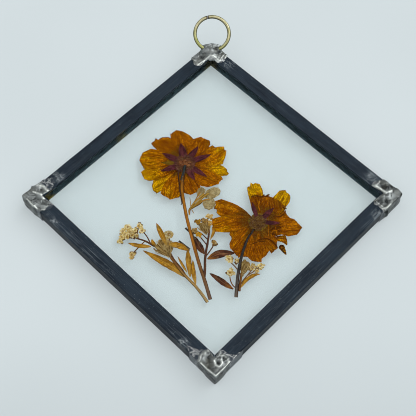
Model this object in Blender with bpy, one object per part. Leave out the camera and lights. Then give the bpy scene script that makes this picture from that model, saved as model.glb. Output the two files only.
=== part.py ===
"""Pressed flower frame: two square panes of glass hold dried flowers in the thin pocket between them.

The panes sit in four mitred U-section metal cames, the corners are capped with solder, and a brass
ring is soldered to one corner. The frame lies on its back with +Z up and +Y towards the ring. The
origin is the middle of the bounding box, on the surface that the frame lies on. Tables and driving
dimensions are in millimetres, in plan from the middle of the square; the meshes are in metres.
"""
import math

import bmesh
import bpy
from mathutils import Matrix, Vector

MM = 0.001

# ---------------------------------------------------------------- driving dimensions (millimetres)
SIDE = 114.3              # outer side of the square, four and a half inches
CAME_FACE = 6.35          # width of a came's face, a quarter of an inch
CAME_DEPTH = 7.6          # front face to back face
CAME_WALL = 0.8           # flange and web thickness
CAME_EDGE = 0.4           # chamfer on the came's outer edges
MITRE_GAP = 0.1           # half the gap between two mitred ends
GLASS_THICK = 2.2
GLASS_PLAY = 0.1          # between a pane and the flange next to it
GLASS_EDGE_PLAY = 0.3     # between a pane's edge and the web
SOLDER_THICK = 0.5        # of the skin on the front, the back and the outer sides
SOLDER_GAP = 0.1          # clearance between the skin and the came under it
SOLDER_TIP = 81.4         # reach of a corner's point from the middle of the square
SOLDER_ROUND = 0.2
RING_RADIUS = 7.9         # to the middle of the wire
RING_WIRE = 1.5           # wire diameter
RING_TILT = math.radians(24.0)
RING_MIDDLE = (0.6, 82.7)
RING_SPLIT = math.radians(105.0)
RING_SPLIT_WIDTH = 0.25
RING_POINTS = 40

# ---------------------------------------------------------------- heights that follow (millimetres)
CAME_BACK = SOLDER_THICK + SOLDER_GAP
CAME_FRONT = CAME_BACK + CAME_DEPTH
SOLDER_FRONT = CAME_FRONT + SOLDER_GAP + SOLDER_THICK
BACK_GLASS = CAME_BACK + CAME_WALL + GLASS_PLAY
POCKET = BACK_GLASS + GLASS_THICK
FRONT_GLASS = CAME_FRONT - CAME_WALL - GLASS_PLAY - GLASS_THICK
RING_FOOT = CAME_FRONT + SOLDER_GAP + RING_WIRE / 2 + 0.15
RING_HEIGHT = RING_FOOT + RING_RADIUS * math.sin(RING_TILT)

# ---------------------------------------------------------------- layers in the pocket (millimetres)
LAYER_PITCH = 0.19        # from one layer of petals or leaves to the next
LAYER_START = 0.05        # of the lowest layer above the back pane
LEAF_THICK = 0.14         # of a pressed petal or leaf
TWIG_HEIGHT = 0.60        # middle of the sprigs' twigs above the back pane

# ---------------------------------------------------------------- solder corners
# How far each arm of solder runs along its came, at these distances in from the came's outer edge.
ARM_STATIONS = (1.3, 3.4, 5.2, CAME_FACE)
SOLDER_CORNERS = {
    # name: (turn from the ring's corner, left arm, right arm), first value on the outer side
    "solder_top": (0, (12.6, 13.6, 14.6, 14.0, 13.0), (10.5, 11.2, 12.2, 11.5, 10.4)),
    "solder_left": (90, (11.0, 11.2, 12.9, 12.9, 12.2), (11.0, 13.5, 17.0, 13.0, 10.8)),
    "solder_bottom": (180, (16.0, 11.5, 10.5, 10.2, 9.6), (13.0, 18.0, 12.5, 11.0, 9.8)),
    "solder_right": (270, (10.0, 10.6, 12.0, 12.9, 12.5), (14.0, 12.0, 12.2, 12.6, 11.5)),
}
# A mound over the ring's foot: middle and half sizes.
RING_MOUND = ((0.2, 76.8, 8.8), (5.4, 4.2, 1.8))

CAMES = {"came_upper_right": 45, "came_upper_left": 135, "came_lower_left": 225, "came_lower_right": 315}

# ---------------------------------------------------------------- the blooms
# A petal is its layer and the points of its torn rim, clockwise; it narrows to a claw on the receptacle.
PETAL_ROOT = 2.6          # of the claws from the middle of the receptacle
PETAL_CLAW = 1.3          # width of a claw
PETAL_BOW = 0.09          # how far the sides bow out, of the petal's length

LEFT_BLOOM = {
    "middle": (-12.0, 17.3),
    "petals": [
        (1, [(-18.5, 33.0), (-15.7, 35.0), (-13.0, 34.3), (-10.0, 32.4), (-8.2, 30.2)]),
        (2, [(-8.0, 30.2), (-5.0, 31.2), (-2.5, 30.0), (-0.8, 29.2), (-0.7, 27.2)]),
        (0, [(-0.8, 26.2), (0.3, 27.0), (1.7, 25.5)]),
        (1, [(1.7, 25.4), (3.2, 26.2), (5.3, 26.2), (5.6, 24.6), (6.5, 24.0), (5.8, 20.5), (4.7, 17.2)]),
        (0, [(4.6, 16.3), (6.2, 15.0), (7.2, 12.2), (6.5, 11.5), (4.5, 11.2)]),
        (2, [(4.2, 10.5), (4.5, 9.3), (3.0, 8.1), (2.8, 7.0), (0.0, 6.0), (-2.0, 5.5), (-4.7, 6.1)]),
        (1, [(-5.2, 5.5), (-7.0, 3.0), (-9.5, 1.8), (-12.3, 2.8)]),
        (2, [(-14.5, 0.5), (-18.5, -0.5), (-20.5, 0.9), (-22.5, 2.6)]),
        (0, [(-24.2, 2.7), (-25.8, 4.3), (-26.3, 6.5), (-25.8, 9.0)]),
        (1, [(-27.5, 8.9), (-29.6, 9.8), (-31.3, 13.4), (-29.8, 14.6)]),
        (2, [(-30.0, 15.0), (-32.0, 19.3), (-31.2, 22.3), (-30.0, 23.6), (-27.4, 25.0)]),
        (0, [(-27.0, 28.0), (-25.4, 29.8), (-25.0, 31.0), (-24.0, 30.0), (-22.0, 31.5), (-19.0, 31.3)]),
    ],
    "disc": 3.6,
    "bracts": [(-13.8, 27.7, 3.4), (-6.0, 26.0, 2.6), (-0.4, 21.8, 2.6), (-2.3, 10.6, 2.4),
               (-7.7, 8.9, 2.6), (-22.5, 13.6, 2.6), (-22.5, 17.7, 1.8), (-22.0, 22.6, 2.8)],
    "bract_heights": (0.63, 0.80),
}
RIGHT_BLOOM = {
    "middle": (19.3, -11.9),
    "petals": [
        (3, [(3.2, -8.7), (2.3, -8.2), (1.3, -6.8), (1.5, -5.3), (0.3, -5.0), (1.2, -3.5), (0.8, -1.5),
             (3.5, -0.4), (5.0, -1.3)]),
        (2, [(17.5, 0.0), (14.9, 5.0), (15.1, 5.7), (16.2, 6.0), (16.5, 7.6), (17.8, 6.9), (18.5, 7.5),
             (20.5, 7.0), (21.6, 4.0), (21.0, 0.0)]),
        (4, [(16.5, -4.2), (16.0, -1.5), (16.6, 0.6), (20.8, 0.6), (22.5, 1.0), (24.0, 0.8), (26.5, -0.4),
             (28.5, -1.5), (30.9, -4.4)]),
        (3, [(26.2, -0.8), (27.0, 1.0), (28.5, 3.0), (29.0, 3.6), (31.5, 3.7), (32.0, 2.4), (33.3, 1.5),
             (33.5, 0.0), (33.0, -2.2), (31.0, -5.0)]),
        (2, [(30.8, -6.5), (33.0, -9.8), (34.5, -10.3), (37.0, -13.3), (37.9, -14.2), (37.3, -15.5),
             (35.3, -17.8), (32.0, -18.5), (29.5, -17.4), (27.5, -18.0)]),
        (4, [(27.0, -20.5), (26.6, -22.6), (27.0, -24.3), (26.0, -25.0), (24.2, -26.7), (23.7, -25.0)]),
        (3, [(23.5, -25.0), (22.0, -27.5), (20.0, -29.0), (20.0, -30.5), (18.0, -30.3), (16.0, -30.0),
             (14.0, -28.0), (11.5, -28.0)]),
        (2, [(10.5, -28.5), (9.0, -26.5), (7.0, -24.0), (6.5, -22.5), (7.0, -21.0), (7.7, -19.5),
             (6.8, -17.5), (7.0, -16.0)]),
        (4, [(3.0, -16.4), (0.5, -16.2), (-0.5, -14.5), (-0.3, -12.0), (-0.6, -10.5), (0.8, -9.7),
             (5.0, -8.6)]),
    ],
    "disc": 4.1,
    "bracts": [(17.5, -2.6, 1.7), (25.9, -5.2, 2.0), (28.5, -12.7, 1.8)],
    "bract_heights": (1.01, 1.30),
}
# The pale bloom's three petals spring from one point; "disc" is left out, for it has no receptacle.
PALE_BLOOM = {
    "middle": (-4.3, -0.2),
    "petals": [
        (3, [(-1.8, 4.2), (0.2, 5.4), (2.6, 5.2), (3.6, 3.6), (3.0, 1.6), (1.0, 0.3)]),
        (4, [(0.6, -0.6), (1.3, -2.6), (0.6, -4.8), (-1.4, -6.0), (-3.4, -5.2), (-4.2, -3.2)]),
        (4, [(-6.6, 1.0), (-7.0, 2.8), (-6.2, 4.8), (-4.6, 5.4), (-3.0, 4.2)]),
    ],
}
PALE_ROOT = 1.2
PALE_CLAW = 0.8

# Two curled scraps of petal beside the right bloom.
CURLED_SCRAPS = {
    "right_bloom_curled_petal": (3, [(25.5, -20.9), (25.6, -19.7), (28.0, -19.0), (30.2, -18.6), (31.0, -20.6),
                                     (30.6, -22.2), (29.8, -20.4), (28.0, -20.2)]),
    "right_bloom_curled_tip": (3, [(27.5, -24.2), (28.0, -23.0), (29.4, -23.1), (30.0, -24.3), (30.4, -27.0),
                                   (29.6, -27.0), (28.8, -25.5)]),
}

# Stems of the blooms: middle height in the pocket, flattening, width at both ends, route.
STEMS = {
    "left_bloom_stem": (1.10, 0.33, 1.2, 1.5, [(-12.3, 15.5), (-13.0, 9.0), (-13.2, 5.0), (-12.7, 0.0),
                                               (-11.0, -10.0), (-8.7, -20.0), (-6.3, -30.0), (-3.4, -40.0),
                                               (-1.5, -47.2)]),
    "right_bloom_stem": (1.16, 0.22, 1.0, 1.5, [(16.9, -15.9), (16.1, -17.2), (14.6, -19.5), (12.6, -25.0),
                                                (11.0, -31.0), (9.8, -38.0), (9.0, -46.3)]),
    "pale_bloom_stalk": (0.66, 0.18, 2.0, 0.7, [(-4.6, -0.9), (-6.0, -2.4), (-8.3, -4.0), (-9.9, -5.6),
                                                (-10.0, -8.0)]),
    "short_stalk_upper": (0.52, 0.35, 0.9, 0.7, [(-11.7, -14.2), (-9.5, -16.6), (-7.5, -19.5)]),
    "short_stalk_lower": (0.52, 0.35, 0.8, 0.7, [(-14.4, -20.3), (-12.0, -22.3), (-9.8, -24.2)]),
}

# ---------------------------------------------------------------- the sprigs
# Twigs are (width at the start, width at the end, route), florets are (x, y, radius), and a tuft of
# fluff is its middle and half sizes; all three grow together. Leaves are (layer, width, route).
SPRIGS = {
    "left_sprig": {
        "twigs": [
            (1.3, 0.6, [(-2.7, -48.2), (-5.0, -44.5), (-8.0, -40.5), (-12.0, -36.0), (-15.0, -32.0),
                        (-18.5, -27.0), (-21.0, -24.5), (-25.0, -22.5), (-28.5, -20.3), (-32.0, -19.0),
                        (-34.5, -17.6)]),
            (0.7, 0.6, [(-11.6, -36.2), (-13.2, -33.2), (-16.6, -28.6), (-18.4, -24.0), (-18.5, -18.5)]),
            (0.5, 0.45, [(-26.0, -22.0), (-28.0, -18.0), (-30.0, -15.5)]),
            (0.5, 0.45, [(-28.8, -20.4), (-33.0, -25.2), (-34.0, -26.5)]),
            (0.5, 0.45, [(-31.5, -19.1), (-32.0, -16.5), (-31.3, -13.2)]),
            (0.5, 0.45, [(-32.0, -19.0), (-34.4, -16.0), (-36.0, -13.6)]),
            (0.5, 0.45, [(-33.8, -18.1), (-36.5, -16.9), (-38.2, -15.5)]),
            (0.5, 0.45, [(-32.6, -18.8), (-36.0, -18.9), (-39.0, -20.4)]),
        ],
        "florets": [(-36.0, -13.5, 1.4), (-38.2, -15.6, 1.3), (-38.4, -18.4, 1.2), (-39.0, -20.6, 1.0),
                    (-36.3, -18.3, 1.2), (-35.2, -15.9, 1.5), (-33.0, -15.3, 1.2), (-31.3, -13.0, 1.2),
                    (-30.0, -15.5, 1.3), (-34.0, -26.6, 1.4), (-18.5, -17.4, 2.0)],
        "leaves": {
            "left_sprig_leaf_long": (1, 2.3, [(-12.0, -36.5), (-17.2, -33.3), (-22.6, -29.9), (-29.5, -24.8)]),
            "left_sprig_leaf_outer": (4, 1.9, [(-26.0, -23.0), (-31.0, -22.6), (-35.8, -21.3)]),
            "left_sprig_leaf_upright": (4, 2.2, [(-20.5, -20.5), (-22.3, -16.5), (-24.0, -12.0)]),
            "left_sprig_leaf_small": (5, 1.5, [(-24.0, -22.5), (-25.2, -21.4), (-25.8, -19.6)]),
            "left_sprig_leaf_inner": (4, 2.5, [(-18.5, -22.0), (-14.5, -22.6), (-10.0, -25.0)]),
            "left_sprig_leaf_lower": (1, 2.3, [(-9.9, -35.5), (-10.4, -30.0), (-10.7, -24.8)]),
            "left_sprig_leaf_beside_stem": (4, 2.0, [(-7.8, -39.5), (-8.5, -35.0), (-8.6, -29.3)]),
            "left_sprig_leaf_narrow": (5, 1.0, [(-11.0, -35.0), (-12.9, -31.6), (-14.9, -27.7)]),
        },
        "tuft": ((-21.3, -23.4), (3.4, 4.0)),
    },
    "middle_sprig": {
        "twigs": [
            (1.2, 0.6, [(-4.0, -38.0), (-3.6, -33.0), (-3.5, -29.0), (-3.0, -25.0), (-2.3, -21.0),
                        (-1.8, -17.0), (-1.8, -14.0), (-2.4, -11.0), (-1.8, -9.0)]),
            (0.5, 0.45, [(-1.9, -15.0), (-4.2, -13.0), (-6.3, -11.5)]),
            (0.5, 0.45, [(-2.1, -20.0), (-5.0, -16.9), (-7.6, -15.6)]),
            (0.5, 0.45, [(-2.6, -22.4), (-4.8, -19.4), (-6.2, -17.6)]),
            (0.6, 0.45, [(-3.3, -27.8), (-0.6, -23.8), (0.4, -21.4)]),
        ],
        "florets": [(-6.3, -11.5, 1.3), (-3.4, -10.9, 1.5), (-1.5, -9.0, 1.4), (-7.8, -15.5, 1.3),
                    (-6.3, -17.5, 1.2), (0.4, -21.3, 1.2), (-1.1, -12.4, 1.2)],
        "leaves": {
            "middle_sprig_leaf_left": (0, 3.2, [(-3.8, -25.8), (-6.3, -22.4), (-8.0, -18.0)]),
            "middle_sprig_leaf_golden": (5, 1.2, [(-1.2, -20.0), (0.2, -16.5), (-0.3, -14.0)]),
            "middle_sprig_leaf_right": (1, 3.6, [(-2.5, -28.6), (3.0, -26.3), (9.0, -26.0)]),
        },
        "tuft": ((-4.0, -14.2), (2.2, 2.2)),
    },
    "right_sprig": {
        "twigs": [
            (1.1, 0.7, [(10.4, -43.4), (10.8, -40.0), (11.5, -36.0), (12.5, -31.8), (12.8, -29.2)]),
            (0.5, 0.45, [(11.4, -36.4), (9.4, -33.0), (7.0, -30.2), (6.5, -29.2)]),
            (0.5, 0.45, [(10.5, -43.0), (8.0, -41.0), (6.9, -38.5), (6.6, -35.4)]),
            (0.5, 0.45, [(10.8, -40.6), (12.6, -38.0), (15.0, -35.0), (16.3, -33.2)]),
            (0.5, 0.45, [(13.8, -36.5), (16.9, -34.4), (19.4, -32.2)]),
            (0.5, 0.45, [(12.2, -33.0), (11.2, -31.0), (9.9, -29.7)]),
        ],
        "florets": [(6.5, -29.0, 1.5), (6.6, -35.2, 1.5), (16.2, -33.0, 1.5), (19.5, -32.1, 1.35),
                    (9.9, -29.7, 1.1), (18.0, -34.4, 0.9)],
        "leaves": {
            "right_sprig_leaf_left": (4, 2.5, [(7.9, -42.6), (4.6, -40.2), (1.5, -37.7), (-1.7, -35.4)]),
            "right_sprig_leaf_right": (1, 1.6, [(10.8, -42.0), (13.4, -38.4), (16.6, -36.2), (19.3, -35.7)]),
        },
        "tuft": ((13.3, -31.6), (1.7, 2.8)),
    },
}
TWIG_FLATTEN = 0.30
FLORET_THICK = 0.40
TUFT_THICK = 0.30

FLAT_ANGLE = math.radians(0.1)
BRACT_SPACING = math.radians(26.0)   # most that a bare stretch of a receptacle's rim turns in one step
BRACT_BROADEST = 0.45     # how far out a bract is at its broadest, of its length
BRACT_FOOT = 0.4          # a bract's width at its foot, of its greatest width

PARTS = "pressed_flower_frame"
CUTTERS = "cutters"


# ---------------------------------------------------------------- scene and materials
def clear_scene():
    for thing in list(bpy.data.objects):
        bpy.data.objects.remove(thing, do_unlink=True)


def new_collection(name):
    group = bpy.data.collections.new(name)
    bpy.context.scene.collection.children.link(group)
    return group


def make_material(name, colour, roughness, metallic=0.0, transmission=0.0):
    """One Principled material for a sub-part."""
    made = bpy.data.materials.new(name)
    made.use_nodes = True
    shader = made.node_tree.nodes["Principled BSDF"]
    shader.inputs["Base Color"].default_value = (*colour, 1.0)
    shader.inputs["Roughness"].default_value = roughness
    shader.inputs["Metallic"].default_value = metallic
    shader.inputs["Transmission Weight"].default_value = transmission
    made.diffuse_color = (*colour, 1.0)
    return made


def add_part(name, mesh, look, turn=0.0):
    """Put a mesh in the object's collection, under the empty that carries the whole frame."""
    part = bpy.data.objects.new(name, mesh)
    parts.objects.link(part)
    part.parent = carrier
    part.rotation_euler.z = turn
    mesh.name = name
    mesh.materials.clear()
    mesh.materials.append(make_material(name, *look))
    return part


def add_cutter(name, mesh):
    cutter = bpy.data.objects.new(name, mesh)
    cutters.objects.link(cutter)
    cutter.hide_render = True
    cutter.display_type = "WIRE"
    return cutter


def evaluated_mesh(thing):
    """The mesh that an object's modifiers or curve settings make, welded and facing out."""
    bpy.context.view_layer.update()
    source = thing.evaluated_get(bpy.context.evaluated_depsgraph_get())
    mesh = bpy.data.meshes.new_from_object(source)
    mesh.transform(thing.matrix_world)
    work = bmesh.new()
    work.from_mesh(mesh)
    bmesh.ops.remove_doubles(work, verts=work.verts, dist=0.00001 * MM)
    bmesh.ops.recalc_face_normals(work, faces=work.faces)
    work.to_mesh(mesh)
    work.free()
    bpy.data.objects.remove(thing, do_unlink=True)
    return mesh


# ---------------------------------------------------------------- shapes
def flat_mesh(outline, low, high):
    """A flat outline in plan, from height low to height high."""
    curve = bpy.data.curves.new("outline", "CURVE")
    curve.dimensions = "2D"
    curve.fill_mode = "BOTH"
    curve.extrude = (high - low) / 2 * MM
    spline = curve.splines.new("POLY")
    spline.points.add(len(outline) - 1)
    for point, place in zip(spline.points, outline):
        point.co = (place[0] * MM, place[1] * MM, 0.0, 1.0)
    spline.use_cyclic_u = True
    shape = add_cutter("outline", curve)
    shape.location.z = (low + high) / 2 * MM
    mesh = evaluated_mesh(shape)
    work = bmesh.new()
    work.from_mesh(mesh)
    bmesh.ops.dissolve_limit(work, angle_limit=FLAT_ANGLE, verts=work.verts, edges=work.edges)
    work.to_mesh(mesh)
    work.free()
    return mesh


def tube_mesh(route, radii, sides=2, closed=False):
    """A tube along a route, with the wire's radius at each point."""
    curve = bpy.data.curves.new("tube", "CURVE")
    curve.dimensions = "3D"
    curve.bevel_depth = MM
    curve.bevel_resolution = sides
    curve.use_fill_caps = not closed
    spline = curve.splines.new("POLY")
    spline.points.add(len(route) - 1)
    for point, place, radius in zip(spline.points, route, radii):
        point.co = (place[0] * MM, place[1] * MM, place[2] * MM, 1.0)
        point.radius = radius
    spline.use_cyclic_u = closed
    return evaluated_mesh(add_cutter("tube", curve))


def smooth_route(points, steps=3):
    """Points along a smooth curve through the given ones (Catmull-Rom)."""
    ends = [Vector(p) for p in points]
    ends = [2 * ends[0] - ends[1]] + ends + [2 * ends[-1] - ends[-2]]
    route = []
    for before, start, end, after in zip(ends, ends[1:], ends[2:], ends[3:]):
        for step in range(steps):
            t = step / steps
            route.append(0.5 * (2 * start + (end - before) * t
                                + (2 * before - 5 * start + 4 * end - after) * t * t
                                + (3 * start - before - 3 * end + after) * t ** 3))
    route.append(ends[-2])
    return route


def pressed_tube(route, start_width, end_width, middle, flatten, steps=2):
    """A stem or twig pressed flat: a tapering tube with its height scaled down."""
    path = smooth_route(route, steps)
    last = len(path) - 1
    radii = [(start_width + (end_width - start_width) * i / last) / 2 for i in range(len(path))]
    mesh = tube_mesh([(p.x, p.y, 0.0) for p in path], radii)
    flat = Matrix.Diagonal((1.0, 1.0, flatten, 1.0))
    mesh.transform(Matrix.Translation((0.0, 0.0, (POCKET + middle) * MM)) @ flat)
    return mesh


def fused(meshes):
    """Join meshes that grow together into one closed body."""
    body = add_cutter("body", meshes[0])
    others = [add_cutter("grown_on", mesh) for mesh in meshes[1:]]
    for other in others:
        union = body.modifiers.new("union", "BOOLEAN")
        union.operation = "UNION"
        union.solver = "EXACT"
        union.object = other
    mesh = evaluated_mesh(body)
    for other in others:
        bpy.data.objects.remove(other, do_unlink=True)
    return mesh


def layer_heights(layer):
    low = POCKET + LAYER_START + LAYER_PITCH * layer
    return low, low + LEAF_THICK


# ---------------------------------------------------------------- frame
def came_mesh():
    """A U-section bar along Y at the square's right-hand side, mitred at both ends."""
    inner = CAME_FACE
    top = CAME_DEPTH
    profile = [(0, CAME_EDGE), (CAME_EDGE, 0), (inner, 0), (inner, CAME_WALL), (CAME_WALL, CAME_WALL),
               (CAME_WALL, top - CAME_WALL), (inner, top - CAME_WALL), (inner, top), (CAME_EDGE, top),
               (0, top - CAME_EDGE)]
    mesh = flat_mesh(profile, -SIDE / 2, SIDE / 2)
    stand = Matrix(((-1, 0, 0, SIDE / 2 * MM), (0, 0, 1, 0), (0, 1, 0, CAME_BACK * MM), (0, 0, 0, 1)))
    mesh.transform(stand)
    work = bmesh.new()
    work.from_mesh(mesh)
    for end in (-1, 1):
        cut = bmesh.ops.bisect_plane(work, geom=work.verts[:] + work.edges[:] + work.faces[:],
                                     plane_co=(MITRE_GAP * MM, 0, 0), plane_no=(-1, end, 0), clear_outer=True)
        rim = [piece for piece in cut["geom_cut"] if isinstance(piece, bmesh.types.BMEdge)]
        bmesh.ops.edgenet_fill(work, edges=rim)
    bmesh.ops.recalc_face_normals(work, faces=work.faces)
    work.to_mesh(mesh)
    work.free()
    return mesh


def build_cames():
    for name, turn in CAMES.items():
        add_part(name, came_mesh(), ((0.03, 0.036, 0.043), 0.45, 0.7), math.radians(turn))


def build_glass():
    reach = SIDE / 2 - CAME_WALL - GLASS_EDGE_PLAY
    for name, low in (("back_glass", BACK_GLASS), ("front_glass", FRONT_GLASS)):
        square = [(-reach, -reach), (reach, -reach), (reach, reach), (-reach, reach)]
        mesh = flat_mesh(square, low, low + GLASS_THICK)
        add_part(name, mesh, ((0.86, 0.93, 0.92), 0.02, 0.0, 1.0), math.radians(45))


def solder_outline(left_arm, right_arm):
    """Plan of one corner's solder with its point towards +Y: two arms that run along the cames."""
    half = math.sqrt(0.5)
    tip = Vector((0.0, SIDE * half))
    overhang = SOLDER_GAP + SOLDER_THICK
    stations = (-overhang,) + ARM_STATIONS
    right = [tip + Vector((along - b, -along - b)) * half for along, b in zip(right_arm, stations)]
    left = [tip + Vector((b - along, -along - b)) * half for along, b in zip(left_arm, stations)]
    start = 1.2
    shoulder = Vector((start + overhang, overhang - start)) * half
    inner_corner = tip + Vector((0.0, 1 - 2 * CAME_FACE * half))
    outline = [Vector((0.0, SOLDER_TIP)), tip + shoulder] + right + [inner_corner]
    return outline + left[::-1] + [tip + Vector((-shoulder.x, shoulder.y))]


def build_solder():
    """A skin of solder over the front, back and outer sides of each mitred corner."""
    reach = SIDE / 2 + SOLDER_GAP
    square = [(-reach, -reach), (reach, -reach), (reach, reach), (-reach, reach)]
    for name, (turn, left_arm, right_arm) in SOLDER_CORNERS.items():
        block = flat_mesh(solder_outline(left_arm, right_arm), 0.0, SOLDER_FRONT)
        block.transform(Matrix.Rotation(math.radians(turn), 4, "Z"))
        round_rims(block)
        part = add_part(name, block, ((0.55, 0.56, 0.57), 0.3, 1.0))
        if name == "solder_top":
            middle, half_sizes = RING_MOUND
            work = bmesh.new()
            bmesh.ops.create_uvsphere(work, u_segments=20, v_segments=10, radius=MM)
            bmesh.ops.scale(work, vec=half_sizes, verts=work.verts)
            bmesh.ops.translate(work, vec=Vector(middle) * MM, verts=work.verts)
            mound = bpy.data.meshes.new("mound")
            work.to_mesh(mound)
            work.free()
            cut(part, "mound", mound, "UNION")
        cames = flat_mesh(square, CAME_BACK - SOLDER_GAP, CAME_FRONT + SOLDER_GAP)
        cames.transform(Matrix.Rotation(math.radians(45), 4, "Z"))
        cut(part, name + "_cames", cames, "DIFFERENCE")
        if name == "solder_top":
            cut(part, "ring_room", ring_mesh(RING_WIRE / 2 + SOLDER_GAP, closed=True), "DIFFERENCE")


def round_rims(mesh):
    """Chamfer the edges around a flat solid's front and back."""
    work = bmesh.new()
    work.from_mesh(mesh)
    rims = [edge for edge in work.edges if abs(edge.verts[0].co.z - edge.verts[1].co.z) < 0.001 * MM]
    bmesh.ops.bevel(work, geom=rims, offset=SOLDER_ROUND * MM, segments=1, affect="EDGES", clamp_overlap=True)
    work.to_mesh(mesh)
    work.free()


def cut(part, name, mesh, operation):
    """Cut a part with a mesh given in the frame's own coordinates, or add the mesh to it."""
    cutter = add_cutter(name, mesh)
    cutter.parent = carrier
    boolean = part.modifiers.new(name, "BOOLEAN")
    boolean.operation = operation
    boolean.solver = "EXACT"
    boolean.object = cutter


def ring_mesh(wire_radius, closed=False):
    """The ring's wire: a split circle that tips up from the corner it is soldered to."""
    half_split = 0.0 if closed else RING_SPLIT_WIDTH / 2 / RING_RADIUS
    span = 2 * math.pi - 2 * half_split
    count = RING_POINTS if closed else RING_POINTS - 1
    route = []
    for step in range(RING_POINTS):
        angle = RING_SPLIT + half_split + span * step / count
        route.append((RING_RADIUS * math.cos(angle), RING_RADIUS * math.sin(angle), 0.0))
    mesh = tube_mesh(route, [wire_radius] * RING_POINTS, closed=closed)
    place = Vector((*RING_MIDDLE, RING_HEIGHT)) * MM
    mesh.transform(Matrix.Translation(place) @ Matrix.Rotation(RING_TILT, 4, "X"))
    return mesh


def build_ring():
    add_part("hanging_ring", ring_mesh(RING_WIRE / 2), ((0.55, 0.48, 0.27), 0.3, 1.0))


# ---------------------------------------------------------------- specimens
def petal_outline(middle, rim, root, claw):
    """A claw on the receptacle, two bowed sides and the rim, clockwise."""
    rim = [Vector(p) for p in rim]
    towards = (sum(rim, Vector((0.0, 0.0))) / len(rim) - Vector(middle)).normalized()
    left = Vector((-towards.y, towards.x))
    foot = Vector(middle) + towards * root
    bow = PETAL_BOW * (rim[len(rim) // 2] - foot).length

    def side(start, end, outwards):
        return [start.lerp(end, u) + outwards * bow * 4 * u * (1 - u) for u in (0.0, 0.3, 0.6)]

    outer = side(foot + left * claw / 2, rim[0], left)
    inner = side(foot - left * claw / 2, rim[-1], -left)
    return outer + rim + inner[::-1]


def build_petals(prefix, bloom, root, claw, look):
    for number, (layer, rim) in enumerate(bloom["petals"], 1):
        outline = petal_outline(bloom["middle"], rim, root, claw)
        add_part(f"{prefix}_petal_{number:02d}", flat_mesh(outline, *layer_heights(layer)), look)


def calyx_outline(bloom):
    """A round receptacle with a lance-shaped bract towards each listed tip, counter-clockwise."""
    middle = Vector(bloom["middle"])
    blades = [(Vector((x, y)) - middle, width / 2) for x, y, width in bloom["bracts"]]
    blades.sort(key=lambda blade: math.atan2(blade[0].y, blade[0].x))
    outline = []
    for (tip, half), (following, _) in zip(blades, blades[1:] + blades[:1]):
        left = Vector((-tip.y, tip.x)).normalized() * half
        foot = tip.normalized() * bloom["disc"] * 0.92
        broad = foot.lerp(tip, BRACT_BROADEST)
        outline += [foot - left * BRACT_FOOT, broad - left, tip, broad + left, foot + left * BRACT_FOOT]
        start = math.atan2(tip.y, tip.x)
        gap = (math.atan2(following.y, following.x) - start) % math.tau
        fillers = max(0, round(gap / BRACT_SPACING) - 1)
        for step in range(1, fillers + 1):
            angle = start + gap * step / (fillers + 1)
            outline.append(Vector((math.cos(angle), math.sin(angle))) * bloom["disc"])
    return [middle + corner for corner in outline]


def build_calyx(name, bloom, look):
    low, high = bloom["bract_heights"]
    add_part(name, flat_mesh(calyx_outline(bloom), POCKET + low, POCKET + high), look)


def leaf_outline(route, width):
    """A blade about a curved midrib, widest near its middle."""
    steps = 3
    path = smooth_route(route, steps)
    last = len(path) - 1
    upper = []
    lower = []
    for i, place in enumerate(path):
        t = i / last
        ahead = path[min(i + 1, last)] - path[max(i - 1, 0)]
        across = Vector((-ahead.y, ahead.x)).normalized()
        half = width / 2 * max(0.12, math.sin(math.pi * t ** 0.9)) if i < last else 0.0
        upper.append(place + across * half)
        lower.append(place - across * half)
    return upper + lower[-2::-1]


def build_leaf(name, layer, width, route, look):
    add_part(name, flat_mesh(leaf_outline(route, width), *layer_heights(layer)), look)


def floret_mesh(x, y, radius):
    """A small five-lobed flower pressed flat."""
    outline = []
    for step in range(10):
        reach = radius if step % 2 == 0 else radius * 0.7
        angle = step * math.tau / 10 + x + y
        outline.append((x + reach * math.cos(angle), y + reach * math.sin(angle)))
    middle = POCKET + TWIG_HEIGHT
    return flat_mesh(outline, middle - FLORET_THICK / 2, middle + FLORET_THICK / 2)


def tuft_mesh(middle, half_sizes):
    """A ragged clump of fine fluff."""
    outline = []
    for step in range(22):
        angle = step * math.tau / 22
        ragged = 1.0 + 0.1 * math.sin(5 * angle + middle[0]) + 0.08 * math.cos(11 * angle)
        outline.append((middle[0] + half_sizes[0] * ragged * math.cos(angle),
                        middle[1] + half_sizes[1] * ragged * math.sin(angle)))
    height = POCKET + TWIG_HEIGHT
    return flat_mesh(outline, height - TUFT_THICK / 2, height + TUFT_THICK / 2)


def build_sprig(name, sprig, leaf_look):
    pieces = [pressed_tube(route, start, end, TWIG_HEIGHT, TWIG_FLATTEN)
              for start, end, route in sprig["twigs"]]
    pieces += [floret_mesh(*floret) for floret in sprig["florets"]]
    pieces.append(tuft_mesh(*sprig["tuft"]))
    add_part(name + "_stem", fused(pieces), ((0.30, 0.20, 0.10), 0.8))
    for leaf, (layer, width, route) in sprig["leaves"].items():
        build_leaf(leaf, layer, width, route, leaf_look)


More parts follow.
